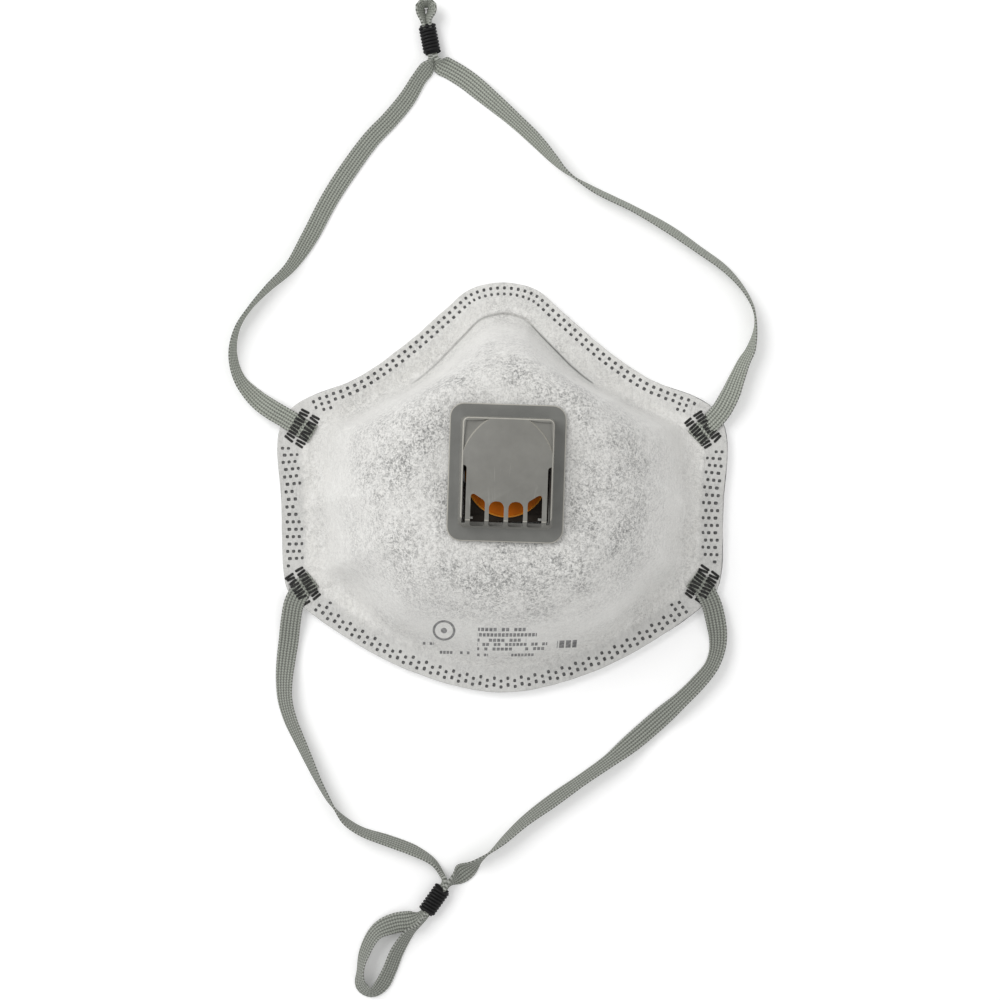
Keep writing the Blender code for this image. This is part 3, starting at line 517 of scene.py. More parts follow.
def raise_nose_band(bm, verts, columns, rows, insets):
    """Lifts the band over the clip and sinks the crease below it, sharper on the right wing, with a painted
    shadow line in the crease and a painted highlight line just above it.
    """
    dark, pale = bm.verts.layers.float["crease_and_painted_shadow"], bm.verts.layers.float["lip_and_painted_highlight"]
    for column in range(columns):
        distance = column * PERIMETER / columns
        from_nose = min(distance, PERIMETER - distance)
        band = 1 - smoothstep(0.93 * CLIP_REACH, 1.1 * CLIP_REACH, from_nose)
        crease_and_painted_shadow = 1 - smoothstep(0.96 * CREASE_REACH, CREASE_REACH, from_nose)
        crease = CREASE_INSET + CREASE_DROP * from_nose / CREASE_REACH
        deep = (0.9 if distance < PERIMETER / 2 else 0.5) * MM
        for row in range(rows):
            inset = insets[row] * MM
            rise = smoothstep(3.0 * MM, 4.5 * MM, inset) * (1 - smoothstep(8.3 * MM, 10.5 * MM, inset))
            vert = verts[column, row]
            vert.co.z += CLIP_RISE * band * rise
            vert.co.z -= crease_and_painted_shadow * deep * bell(inset, crease, 0.3 * MM)
            wing = smoothstep(12 * MM, 20 * MM, from_nose)
            share = wing if distance < PERIMETER / 2 else 0.35
            # Painted shadow in the crease, and a painted highlight just above it.
            vert[dark] = crease_and_painted_shadow * (0.3 + 0.7 * share) * bell(inset, crease + 0.1 * MM, 0.28 * MM)
            vert[pale] = crease_and_painted_shadow * share * bell(inset, crease - 0.35 * MM, 0.25 * MM)
            vert.co.z += crease_and_painted_shadow * 0.4 * deep * bell(inset, crease - 0.6 * MM, 0.3 * MM)


def press_pits(bm, verts, columns, insets):
    """Presses the weld's dots into the flange: a ring of squeezed felt with a dark floor."""
    pressed = bm.verts.layers.float["pressed"]
    cells = []
    rows = {value: index for index, value in enumerate(insets)}
    for column in range(0, columns, 2):
        distance = column * PERIMETER / columns
        station = Station(distance)
        near_weld = min((station.rim - centre).length for centre in SIZING_CENTRES)
        for index, inset in enumerate(PIT_INSETS):
            row = rows[inset]
            sided = station.rim.x > 0 or station.pad > 0.5
            if index == 2 and not (sided and station.from_nose > 62 * MM and station.rim.y > -40 * MM):
                continue
            corners = [(column, row), (column + 1, row), (column + 1, row + 1), (column, row + 1)]
            corners = [verts[c % columns, r] for c, r in corners]
            face = bm.faces.get(corners)
            middle = face.calc_center_median().xy
            if any(under_bars(middle, name) for name in WELD_CENTRES):
                continue
            cells.append(face)
    bmesh.ops.inset_individual(bm, faces=cells, thickness=0.05 * MM, depth=0.0)
    corners = [vert for face in cells for vert in face.verts]
    bmesh.ops.bevel(
        bm,
        geom=corners,
        offset=0.24 * MM,
        segments=1,
        profile=0.5,
        affect="VERTICES",
        material=-1,
    )
    floors = [face for face in bm.faces if len(face.verts) == 8 and face.calc_area() > 0.3 * MM**2]
    for face in floors:
        for vert in face.verts:
            vert[pressed] = 1.0
    bmesh.ops.inset_individual(bm, faces=floors, thickness=0.05 * MM, depth=-PIT_DEPTH)
    for face in floors:
        face.material_index = 1


def under_bars(point, name):
    """Whether a point lies where a weld's bars are."""
    away = point - WELD_CENTRES[name]
    direction = WELD_DIRECTIONS[name].normalized()
    return abs(away.dot(direction)) < 4.4 * MM and abs(away.cross(direction)) < 7.2 * MM


# ---------- Finishes ----------


class Finish:
    """A Principled material, and a short way to add its nodes."""

    def __init__(self, name, colour, roughness, **values):
        self.material = bpy.data.materials.new(name)
        self.material.use_nodes = True
        self.tree = self.material.node_tree
        self.shader = self.tree.nodes["Principled BSDF"]
        self.shader.inputs["Base Color"].default_value = (*colour, 1.0)
        self.shader.inputs["Roughness"].default_value = roughness
        for key, value in values.items():
            self.shader.inputs[key.replace("_", " ").title().replace("Ior", "IOR")].default_value = value
        self.place = self.node("ShaderNodeTexCoord").outputs["Object"]

    def node(self, kind, inputs=(), **settings):
        made = self.tree.nodes.new(kind)
        for key, value in settings.items():
            setattr(made, key, value)
        for key, value in dict(inputs).items():
            if isinstance(value, bpy.types.NodeSocket):
                self.tree.links.new(value, made.inputs[key])
            else:
                made.inputs[key].default_value = value
        return made

    def math(self, operation, a, b=0.0, clamp=False):
        return self.node("ShaderNodeMath", {0: a, 1: b}, operation=operation, use_clamp=clamp).outputs[0]

    def moved(self, vector, scale=(1, 1, 1), turn=(0, 0, 0)):
        return self.node("ShaderNodeMapping", {"Vector": vector, "Scale": scale, "Rotation": turn}).outputs[0]

    def noise(self, scale, detail=4.0, roughness=0.6, distortion=0.0, vector=None):
        inputs = {"Vector": vector or self.place, "Scale": scale, "Detail": detail}
        inputs |= {"Roughness": roughness, "Distortion": distortion}
        return self.node("ShaderNodeTexNoise", inputs).outputs[0]

    def ramp(self, value, *stops):
        made = self.node("ShaderNodeValToRGB", {0: value})
        while len(made.color_ramp.elements) < len(stops):
            made.color_ramp.elements.new(0.5)
        for element, (place, colour) in zip(made.color_ramp.elements, stops):
            element.position = place
            element.color = (*colour, 1) if isinstance(colour, tuple) else (colour, colour, colour, 1)
        return made.outputs[0]

    def mix(self, share, a, b, blend="MIX"):
        made = self.node("ShaderNodeMix", {0: share}, data_type="RGBA", blend_type=blend)
        for socket, value in ((made.inputs[6], a), (made.inputs[7], b)):
            if isinstance(value, bpy.types.NodeSocket):
                self.tree.links.new(value, socket)
            else:
                socket.default_value = (*value, 1)
        return made.outputs[2]

    def attribute(self, name):
        return self.node("ShaderNodeAttribute", attribute_name=name).outputs["Fac"]

    def bump(self, height, distance, strength=1.0, before=None):
        inputs = {"Height": height, "Distance": distance, "Strength": strength}
        if before:
            inputs["Normal"] = before
        return self.node("ShaderNodeBump", inputs).outputs[0]

    def join(self, **outputs):
        for key, output in outputs.items():
            self.tree.links.new(output, self.shader.inputs[key.replace("_", " ").title()])
        return self.material


def fibres(look, scale, width=0.035, stretch=(1, 0.35, 1), turn=0.0):
    """Thin wandering lines, like single fibres in felt: 1 on a fibre and 0 off it."""
    vector = look.moved(look.place, stretch, (0, 0, turn))
    wander = look.noise(scale, detail=1.5, roughness=0.5, distortion=0.9, vector=vector)
    return look.ramp(look.math("ABSOLUTE", look.math("SUBTRACT", wander, 0.5)), (0.0, 1.0), (width, 0.0))


def felt(name, light, dark, mottle, relief=0.00022):
    """Needled felt: clumps of fibre over a darker layer, single fibres and a soft nap."""
    look = Finish(name, light, 0.95, specular_ior_level=0.2, sheen_weight=0.25, sheen_roughness=0.6)
    coarse = look.noise(1000, detail=5, roughness=0.68, distortion=0.8)
    grain = look.math("MULTIPLY", look.math("ADD", look.noise(1800), look.noise(3500, detail=2)), 0.25)
    clumps = look.math("ADD", look.math("MULTIPLY", coarse, 0.5), grain)
    patches = look.noise(95, detail=3, roughness=0.6)
    threads = look.math("MAXIMUM", fibres(look, 520, turn=0.5), fibres(look, 460, turn=2.1))
    thin = look.ramp(clumps, (0.40, 1.0), (0.56, 0.0))
    patchy = look.ramp(patches, (0.34, 0.35), (0.66, 1.0))
    show = look.math("MULTIPLY", look.math("MULTIPLY", thin, patchy), mottle(look), clamp=True)
    colour = look.mix(show, light, dark)
    colour = look.mix(look.math("MULTIPLY", threads, 0.25), colour, (0.9, 0.9, 0.885))
    height = look.math("ADD", look.math("MULTIPLY", clumps, 0.8), look.math("MULTIPLY", threads, 0.35))
    return look, colour, look.bump(height, relief, 0.8)


def thick_mottle_and_painted_shade(look):
    """Strong mottling where the felt is thick round the valve, which also stands in for painted shade beside
    the valve, and hardly any where it is drawn thin.
    """
    thick = look.math("POWER", look.attribute("mottle_and_painted_shade"), 1.4)
    return look.math("ADD", look.math("MULTIPLY", thick, 1.0), 0.3)


def cover_felt():
    """The outer felt: mottled and darker round the valve, partly real mottling and partly painted shade
    beside the valve; smooth and pale on the walls.
    """
    look, colour, relief = felt(
        "cover felt",
        (0.75, 0.742, 0.715),
        (0.22, 0.22, 0.215),
        thick_mottle_and_painted_shade,
    )
    colour = look.mix(look.math("MULTIPLY", look.attribute("brim"), 0.42), colour, (0.42, 0.42, 0.41))
    # Painted highlight just above the nose crease, then painted shadow along the crease.
    colour = look.mix(look.math("MULTIPLY", look.attribute("lip_and_painted_highlight"), 0.9), colour, (0.93, 0.93, 0.91))
    colour = look.mix(look.math("MULTIPLY", look.attribute("crease_and_painted_shadow"), 0.9), colour, (0.10, 0.10, 0.095))
    pressed = look.attribute("pressed")
    colour = look.mix(look.math("MULTIPLY", pressed, 0.55), colour, (0.60, 0.60, 0.58))
    colour = printed(look, colour)
    return look.join(base_color=colour, normal=relief)


def printed(look, colour):
    """Plain marks in worn grey ink below the valve: a ring, rows of short bars and three squares."""
    split = look.node("ShaderNodeSeparateXYZ", {0: look.place})
    x, y = split.outputs[0], split.outputs[1]

    def between(value, low, high):
        above = look.math("GREATER_THAN", value, low)
        return look.math("MULTIPLY", above, look.math("LESS_THAN", value, high))

    def inside(left, right, bottom, top):
        return look.math("MULTIPLY", between(x, left, right), between(y, bottom, top))

    marks = None
    for index, (left, right, middle, tall, pitch) in enumerate(PRINT_ROWS):
        row = inside(left, right, middle - tall / 2, middle + tall / 2)
        step = look.math("FLOOR", look.math("DIVIDE", x, pitch))
        seat = look.node("ShaderNodeCombineXYZ", {0: step, 1: index * 7.3 + 2.0})
        chance = look.node("ShaderNodeTexWhiteNoise", {"Vector": seat.outputs[0]}).outputs[0]
        row = look.math("MULTIPLY", row, look.math("GREATER_THAN", chance, 0.22))
        gap = look.math("FRACT", look.math("DIVIDE", x, pitch))
        row = look.math("MULTIPLY", row, look.math("GREATER_THAN", gap, 0.24))
        marks = look.math("MAXIMUM", marks, row) if marks else row
    centre = look.node("ShaderNodeCombineXYZ", {0: PRINT_RING[0], 1: PRINT_RING[1], 2: 0.0}).outputs[0]
    flat = look.node("ShaderNodeCombineXYZ", {0: x, 1: y}).outputs[0]
    away = look.node("ShaderNodeVectorMath", {0: flat, 1: centre}, operation="DISTANCE").outputs["Value"]
    marks = look.math("MAXIMUM", marks, between(away, PRINT_RING[2], PRINT_RING[3]))
    marks = look.math("MAXIMUM", marks, look.math("LESS_THAN", away, PRINT_RING[4]))
    worn = look.ramp(look.noise(900, detail=3), (0.36, 0.7), (0.6, 0.95))
    return look.mix(look.math("MULTIPLY", marks, worn), colour, (0.07, 0.07, 0.075))


def pit_floor():
    look = Finish("melted dot", (0.045, 0.045, 0.045), 0.55)
    shade = look.ramp(look.noise(1400, detail=3), (0.3, 0.02), (0.75, 0.16))
    return look.join(base_color=shade, normal=look.bump(look.noise(2200), 0.0001))


def weld_black():
    look = Finish("melted bar", (0.01, 0.01, 0.01), 0.6, specular_ior_level=0.2)
    shade = look.ramp(look.noise(1100, detail=4), (0.35, (0.008, 0.008, 0.008)), (0.8, (0.05, 0.05, 0.046)))
    return look.join(base_color=shade, normal=look.bump(look.noise(1800), 0.00012))


def plain_felt(name, light, dark, share):
    look, colour, relief = felt(name, light, dark, lambda made: share)
    return look.join(base_color=colour, normal=relief)


def elastic(name, tone_of):
    """Braided elastic: lengthways ribs, slanting stitches and dashed selvedges, from the UV map in mm."""
    look = Finish(name, tone_of, 0.82, specular_ior_level=0.25, sheen_weight=0.15)
    uv = look.node("ShaderNodeUVMap", uv_map="weave").outputs[0]
    split = look.node("ShaderNodeSeparateXYZ", {0: uv})
    length, across = split.outputs[0], split.outputs[1]
    rib = look.math("MULTIPLY", across, STRAP_RIBS * math.pi / (STRAP_WIDTH / MM))
    rib = look.math("ABSOLUTE", look.math("SINE", rib))
    side = look.math("MULTIPLY", across, 2 * STRAP_RIBS * math.pi / (STRAP_WIDTH / MM))
    slant = look.math("MULTIPLY", look.math("SINE", side), 0.9)
    stitch = look.math("MULTIPLY", length, 2 * math.pi / STITCH_LENGTH)
    stitch = look.math("SINE", look.math("ADD", stitch, slant))
    stitch = look.math("ADD", look.math("MULTIPLY", stitch, 0.5), 0.5)
    uneven = look.noise(3.0, detail=3, roughness=0.7, vector=look.moved(uv, (0.35, 1.3, 1)))
    fine = look.noise(9.0, detail=2, vector=uv)
    height = look.math("ADD", look.math("MULTIPLY", rib, 0.6), look.math("MULTIPLY", stitch, 0.35))
    height = look.math("ADD", height, look.math("MULTIPLY", fine, 0.25))
    tone = look.math("ADD", look.math("MULTIPLY", height, 0.62), look.math("MULTIPLY", uneven, 0.4))
    colour = look.ramp(
        tone,
        (0.26, tuple(0.16 * c for c in tone_of)),
        (0.48, tuple(0.75 * c for c in tone_of)),
        (0.72, tuple(1.2 * c for c in tone_of)),
        (0.95, tuple(2.1 * c for c in tone_of)),
    )
    middle = STRAP_WIDTH / MM / 2
    edge = look.math("ABSOLUTE", look.math("SUBTRACT", across, middle))
    edge = look.math("GREATER_THAN", edge, middle - 0.42)
    wave = look.math("SINE", look.math("MULTIPLY", length, 2 * math.pi / EDGE_DASH))
    dash = look.math("GREATER_THAN", wave, 0.0)
    dashed = look.mix(dash, (0.10, 0.105, 0.09), (0.42, 0.43, 0.40))
    colour = look.mix(look.math("MULTIPLY", edge, 0.75), colour, dashed)
    return look.join(base_color=colour, normal=look.bump(height, 0.00022, 0.9))


def moulded(name, colour, roughness, scratches=0.0, relief=0.00004, **values):
    """Moulded plastic or rubber: faint mottling, fine grain, and scratches where it is handled."""
    look = Finish(name, colour, roughness, **values)
    cloud = look.noise(140, detail=3)
    lighter, darker = tuple(min(c * 1.08, 1) for c in colour), tuple(c * 0.9 for c in colour)
    shade = look.ramp(cloud, (0.3, darker), (0.7, lighter))
    rough = look.ramp(look.noise(300, detail=4), (0.3, roughness * 0.85), (0.7, min(roughness * 1.2, 1)))
    height = look.noise(2600, detail=2)
    if scratches:
        lines = look.math("MAXIMUM", *(
            fibres(look, scale, 0.006, stretch, turn)
            for scale, stretch, turn in ((160, (1, 0.08, 1), 0.7), (130, (1, 0.06, 1), -0.9))
        ))
        rare = look.ramp(look.noise(110, detail=2), (0.55, 0.0), (0.68, 1.0))
        lines = look.math("MULTIPLY", look.math("MULTIPLY", lines, rare), scratches)
        shade = look.mix(lines, shade, tuple(min(c * 1.9, 1) for c in colour))
    return look.join(base_color=shade, roughness=rough, normal=look.bump(height, relief, 0.6))


def aluminium():
    look = Finish("aluminium", (0.75, 0.75, 0.76), 0.32, metallic=1.0)
    brushed = look.noise(900, detail=3, vector=look.moved(look.place, (0.06, 1, 1)))
    rough = look.ramp(brushed, (0.3, 0.25), (0.7, 0.45))
    return look.join(roughness=rough, normal=look.bump(brushed, 0.00003))


def foam():
    look = Finish("open foam", (0.16, 0.16, 0.165), 0.95)
    cells = look.node("ShaderNodeTexVoronoi", {"Vector": look.place, "Scale": 1500}).outputs[0]
    shade = look.ramp(cells, (0.1, (0.07, 0.07, 0.075)), (0.6, (0.24, 0.24, 0.25)))
    return look.join(base_color=shade, normal=look.bump(cells, 0.0004))


# ---------- Making pieces ----------


def piece(name, bm, body, *finishes, slot=None, replaces=(), smooth=True, sharp=None):
    """Turns a bmesh into a piece that rides on a body."""
    mesh = bpy.data.meshes.new(name)
    bm.to_mesh(mesh)
    bm.free()
    for finish in finishes:
        mesh.materials.append(finish)
    if smooth:
        mesh.shade_smooth()
    if sharp:
        mesh.set_sharp_from_angle(angle=math.radians(sharp))
    obj = bpy.data.objects.new(name, mesh)
    bpy.context.scene.collection.objects.link(obj)
    if body:
        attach(obj, body)
    if replaces:
        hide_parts(*replaces)
    return obj


def thicken(obj, thickness):
    modifier = obj.modifiers.new("thickness", "SOLIDIFY")
    modifier.thickness = thickness
    modifier.offset = -1
    modifier.use_even_offset = True
    modifier.thickness_clamp = 1.0


def carved(bm, *steps):
    """Joins shapes to a bmesh and cuts shapes out of it: steps are (operation, other bmesh)."""
    for operation, other in steps:
        meshes = []
        for shape in (bm, other):
            mesh = bpy.data.meshes.new("shape")
            shape.to_mesh(mesh)
            shape.free()
            meshes.append(bpy.data.objects.new("shape", mesh))
            bpy.context.scene.collection.objects.link(meshes[-1])
        modifier = meshes[0].modifiers.new("carve", "BOOLEAN")
        modifier.operation = operation
        modifier.solver = "EXACT"
        modifier.object = meshes[1]
        bpy.context.view_layer.update()
        done = bpy.data.meshes.new_from_object(meshes[0].evaluated_get(bpy.context.evaluated_depsgraph_get()))
        bm = bmesh.new()
        bm.from_mesh(done)
        bpy.data.meshes.remove(done)
        for obj in meshes:
            bpy.data.meshes.remove(obj.data)
    return bm


def prism(outline, low, high, shrink=0.0, centre=None):
    """Upright solid over a 2-D outline. With a shrink, its top is drawn in towards a centre."""
    bm = bmesh.new()
    verts = [bm.verts.new((x, y, low)) for x, y in outline]
    face = bm.faces.new(verts)
    made = bmesh.ops.extrude_face_region(bm, geom=[face])["geom"]
    tops = [item for item in made if isinstance(item, bmesh.types.BMVert)]
    bmesh.ops.translate(bm, verts=tops, vec=(0, 0, high - low))
    if shrink:
        for vert in tops:
            away = vert.co.xy - centre
            vert.co.xy = centre + away * (1 - shrink / away.length)
    bmesh.ops.recalc_face_normals(bm, faces=bm.faces)
    return bm


def rounded(bm, corners, segments=6):
    """Rounds upright edges near 2-D points: corners are (x, y, radius)."""
    for x, y, radius in corners:
        spot = Vector((x, y))
        near = [
            edge
            for edge in bm.edges
            if abs(edge.verts[0].co.z - edge.verts[1].co.z) > MM
            and all((vert.co.xy - spot).length < 0.3 * MM for vert in edge.verts)
        ]
        bevel(bm, near, radius, segments)
    return bm


def bevel(bm, edges, offset, segments=2):
    bmesh.ops.bevel(
        bm,
        geom=list(edges),
        offset=offset,
        segments=segments,
        profile=0.5,
        affect="EDGES",
        clamp_overlap=True,
        material=-1,
    )


def sharp_edges(bm, angle):
    limit = math.radians(angle)
    return [edge for edge in bm.edges if len(edge.link_faces) == 2 and edge.calc_face_angle(0) > limit]


def ring_turned(profile, steps, centre):
    """A closed profile of (radius, height) turned once round an upright axis."""
    bm = bmesh.new()
    verts = [bm.verts.new((centre[0] + radius, centre[1], height)) for radius, height in profile]
    edges = [bm.edges.new((a, b)) for a, b in zip(verts, verts[1:] + verts[:1])]
    bmesh.ops.spin(
        bm,
        geom=verts + edges,
        cent=(*centre, 0),
        axis=(0, 0, 1),
        angle=2 * math.pi,
        steps=steps,
        use_merge=True,
    )
    bmesh.ops.remove_doubles(bm, verts=bm.verts, dist=1e-7)
    bmesh.ops.recalc_face_normals(bm, faces=bm.faces)
    return bm


# ---------- Straps ----------


def strap_line(route):
    """Evenly spaced (place, lean, size) along a route, with the strap resting on what is under it."""
    points = []
    for x, y, lean, lift, size in route:
        angle = math.radians(lean)
        half_height = abs(math.sin(angle)) * STRAP_WIDTH + abs(math.cos(angle)) * STRAP_THICKNESS
        z = half_height * size / 2 + STRAP_REST + lift * MM
        points.append((x * MM, y * MM, z, angle * MM, size * MM))
    return [
        (Vector(point[:3]), point[3] / MM, point[4] / MM)
        for point in resampled(smooth_curve(points), STRAP_STATIONS)
    ]


def make_strap(name, route, finish):
    """Flat braided elastic swept along its route: two ribbed faces that meet at thin selvedges."""
    line = strap_line(route)
    half = 6 * STRAP_RIBS
    around = 2 * half
    bm = bmesh.new()
    bmesh.ops.create_grid(bm, x_segments=STRAP_STATIONS - 1, y_segments=around, size=0.5)
    weave = bm.loops.layers.uv.new("weave")
    spacing = sum((b[0] - a[0]).length for a, b in zip(line, line[1:])) / (STRAP_STATIONS - 1)
    frames = []
    for index, (place, lean, size) in enumerate(line):
        before, after = line[max(index - 1, 0)][0], line[min(index + 1, STRAP_STATIONS - 1)][0]
        tangent = (after - before).normalized()
        left = Vector((-tangent.y, tangent.x, 0)).normalized()
        up = tangent.cross(left)
        wide = left * math.cos(lean) + up * math.sin(lean)
        frames.append((place, wide, tangent.cross(wide), size))
    for vert in bm.verts:
        station = round((vert.co.x + 0.5) * (STRAP_STATIONS - 1))
        turn = round((vert.co.y + 0.5) * around)
        share = turn / half if turn <= half else 2 - turn / half
        across = 2 * share - 1
        for loop in vert.link_loops:
            loop[weave].uv = (station * spacing / MM, share * STRAP_WIDTH / MM)
        place, wide, thick, size = frames[station]
        height = max(1 - abs(across) ** 6, 0) ** 0.5
        height *= 0.84 + 0.16 * abs(math.sin(share * STRAP_RIBS * math.pi))
        depth = STRAP_THICKNESS * (1 + 2.85 * (1 - size)) / 2
        side = 1 if turn <= half else -1
        vert.co = place + wide * across * STRAP_WIDTH / 2 * size + thick * side * height * depth
    bmesh.ops.remove_doubles(bm, verts=bm.verts, dist=1e-7)
    bmesh.ops.holes_fill(bm, edges=[edge for edge in bm.edges if edge.is_boundary], sides=0)
    bmesh.ops.recalc_face_normals(bm, faces=bm.faces)
    strap = piece(name, bm, None, finish, replaces=(name,), slot=name)
    path = [place for place, _, _ in line]
    length = sum((b - a).length for a, b in zip(path, path[1:]))
    return strap, path, length


def make_adjuster(name, node, mouth, end, body, finish):
    """Cord sleeve: a helical rib wound round a core, flattened where it lies."""
    low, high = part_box(node)
    height = (low.z + high.z) / 2
    length = (Vector(end) - Vector(mouth)).length
    bm = bmesh.new()
    turns, steps, wire = 8, 22, 0.5 * MM
    pitch = (length - 2 * wire) / turns
    radius = ADJUSTER_RADIUS - wire
    made = bmesh.ops.create_circle(bm, cap_ends=True, segments=10, radius=wire)
    bmesh.ops.rotate(bm, verts=made["verts"], matrix=Matrix.Rotation(math.pi / 2, 3, "X"))
    bmesh.ops.translate(bm, verts=made["verts"], vec=(radius, 0, -length / 2 + wire))
    bmesh.ops.spin(
        bm,
        geom=bm.verts[:] + bm.edges[:] + bm.faces[:],
        axis=(0, 0, 1),
        dvec=(0, 0, pitch / steps),
        angle=2 * math.pi * turns,
        steps=steps * turns,
    )
    bmesh.ops.recalc_face_normals(bm, faces=bm.faces)
    core = ring_turned(
        [
            (ADJUSTER_BORE, -length / 2),
            (ADJUSTER_RADIUS - 0.55 * MM, -length / 2),
            (ADJUSTER_RADIUS - 0.55 * MM, length / 2),
            (ADJUSTER_BORE, length / 2),
        ],
        32,
        (0, 0),
    )
    joined = bpy.data.meshes.new("core")
    core.to_mesh(joined)
    core.free()
    bm.from_mesh(joined)
    bpy.data.meshes.remove(joined)
    axis = Vector(end) - Vector(mouth)
    flat = Matrix.Diagonal((1, ADJUSTER_FLATNESS, 1, 1))
    turn = Matrix.Rotation(math.atan2(-axis.x, axis.y), 4, "Z") @ Matrix.Rotation(-math.pi / 2, 4, "X")
    centre = ((Vector(mouth) + Vector(end)) / 2).to_3d() + Vector((0, 0, height))
    bmesh.ops.transform(bm, matrix=Matrix.Translation(centre) @ turn @ flat, verts=bm.verts)
    return piece(name, bm, body, finish, replaces=(node,), slot=node)


def make_weld_bars(name, finish):
    """Two rows of short melted bars across a strap's end, pressed into strap and felt."""
    centre, direction = WELD_CENTRES[name], WELD_DIRECTIONS[name].normalized()
    across = Vector((-direction.y, direction.x))
    chance = random.Random(name)
    bm = bmesh.new()
    for row in (-1, 1):
        for index in range(WELD_BARS):
            aside = (index - (WELD_BARS - 1) / 2) * WELD_PITCH
            wander = chance.uniform(-0.1, 0.1) * MM
            middle = centre + direction * row * WELD_ROW_GAP / 2 + across * (aside + wander)
            on_strap = abs(aside) < STRAP_WIDTH / 2
            top = COVER_TOP + (STRAP_THICKNESS * 0.9 if on_strap else 0.0)
            size = Vector((WELD_BAR_LENGTH * chance.uniform(0.86, 1.06), 0.78 * MM, 0.5 * MM))
            made = bmesh.ops.create_cube(bm, size=1.0)["verts"]
            bmesh.ops.scale(bm, vec=size, verts=made)
            edges = {edge for vert in made for edge in vert.link_edges}
            upright = [edge for edge in edges if abs(edge.verts[0].co.z - edge.verts[1].co.z) > 0.1 * MM]
            done = bmesh.ops.bevel(
                bm, geom=upright, offset=0.3 * MM, segments=2, profile=0.5, affect="EDGES", material=-1
            )
            made = list({vert for face in done["faces"] for vert in face.verts})
            angle = math.atan2(direction.y, direction.x) + chance.uniform(-0.16, 0.16)
            bmesh.ops.rotate(bm, verts=made, matrix=Matrix.Rotation(angle, 3, "Z"))
            bmesh.ops.translate(bm, verts=made, vec=(*middle, top - 0.12 * MM))
    return piece(f"weld_bars_{name}", bm, "mask", finish, sharp=40)


# ---------- Cup ----------


def make_cover():
    bm, verts = cup_surface(COVER_COLUMNS, FLANGE_INSETS, COVER_TOP, dents=0.15 * MM, proud=trimmed_edge)
    raise_nose_band(bm, verts, COVER_COLUMNS, len(FLANGE_INSETS), FLANGE_INSETS)
    press_pits(bm, verts, COVER_COLUMNS, FLANGE_INSETS)
    finishes = (cover_felt(), pit_floor())
    cover = piece("felt_cover", bm, "mask", *finishes, replaces=("outer_cover",), slot="outer_cover")
    thicken(cover, LAYERS["outer_cover"][1])
    return cover


def trimmed_edge(station):
    """The cut edge of a felt, which wanders a little."""
    return 0.12 * MM * noise.noise(station.rim.to_3d() * 260)


def carbon_edge(station):
    """The carbon layer peeks out past the felt at the sides and corners, and stays under it elsewhere."""
    side = smoothstep(0.55, 0.85, abs(station.rim.x) / (MASK_WIDTH / 2))
    right = 0.12 * MM if station.rim.x > 0 else 0.0
    return side * (0.16 * MM + right) - 0.1 * MM + 0.14 * MM * noise.noise(station.rim.to_3d() * 110)


def make_layers():
    looks = {
        "inner_lining": plain_felt("lining felt", (0.80, 0.80, 0.79), (0.60, 0.60, 0.60), 0.3),
        "support_shell": plain_felt("shell felt", (0.78, 0.78, 0.77), (0.5, 0.5, 0.5), 0.4),
        "filter_layer": plain_felt("filter web", (0.86, 0.86, 0.87), (0.7, 0.7, 0.7), 0.3),
        "carbon_layer": plain_felt("carbon felt", (0.035, 0.035, 0.036), (0.09, 0.09, 0.09), 0.7),
    }
    for name, look in looks.items():
        low, thickness = LAYERS[name]
        edge = carbon_edge if name == "carbon_layer" else trimmed_edge
        bm, _ = cup_surface(LAYER_COLUMNS, PLAIN_INSETS, low + thickness, dents=0.15 * MM, proud=edge)
        layer = piece(f"{name}_felt", bm, "mask", look, replaces=(name,), slot=name)
        thicken(layer, thickness)


# ---------- Valve ----------


def turned_with_valve(bm):
    spot = Vector((VALVE_X, VALVE_Y, 0))
    bmesh.ops.rotate(bm, verts=bm.verts, cent=spot, matrix=Matrix.Rotation(VALVE_TURN, 3, "Z"))
    return bm


def block(size_x, size_y, low, high, corner, draft=0.0, chin_draft=None):
    """Box over the valve's centre with rounded upright edges and drafted sides."""
    half_x, half_y = size_x / 2, size_y / 2
    outline = [(-half_x, VALVE_Y - half_y), (half_x, VALVE_Y - half_y)]
    outline += [(half_x, VALVE_Y + half_y), (-half_x, VALVE_Y + half_y)]
    bm = prism(outline, low, high)
    rounded(bm, [(x, y, corner) for x, y in outline])
    for vert in bm.verts:
        if vert.co.z > (low + high) / 2:
            vert.co.x -= math.copysign(draft, vert.co.x)
            vert.co.y += (draft if chin_draft is None else chin_draft) if vert.co.y < VALVE_Y else -draft
    return bm


def window_cutters(low, high):
    """Four windows at the chin with shaped tops, and a slot down each side."""
    bottom, inner_top, outer_top = VALVE_Y - 15.2 * MM, VALVE_Y - 8.1 * MM, VALVE_Y - 5.5 * MM
    shapes = []
    for side in (-1, 1):
        inner = [(0.6, bottom), (4.85, bottom), (4.85, inner_top), (0.6, inner_top)]
        outer = [(6.0, bottom), (10.1, bottom), (10.1, outer_top), (6.0, inner_top)]
        for outline, radii in ((inner, (0.7, 0.7, 1.9, 1.9)), (outer, (0.7, 0.7, 1.6, 0.7))):
            outline = [(side * x * MM, y) for x, y in outline]
            bm = prism(outline, low, high)
            rounded(bm, [(x, y, radius * MM) for (x, y), radius in zip(outline, radii)])
            shapes.append(bm)
        top, foot = VALVE_Y + 1.9 * MM, VALVE_Y - 14.4 * MM
        slot = [(11.45, foot), (12.45, foot), (12.45, top), (11.45, top)]
        slot = [(side * x * MM, y) for x, y in slot]
        bm = prism(slot, low, high)
        rounded(bm, [(*slot[3], 0.9 * MM), (*slot[0], 0.3 * MM)], 4)
        shapes.append(bm)
    return shapes


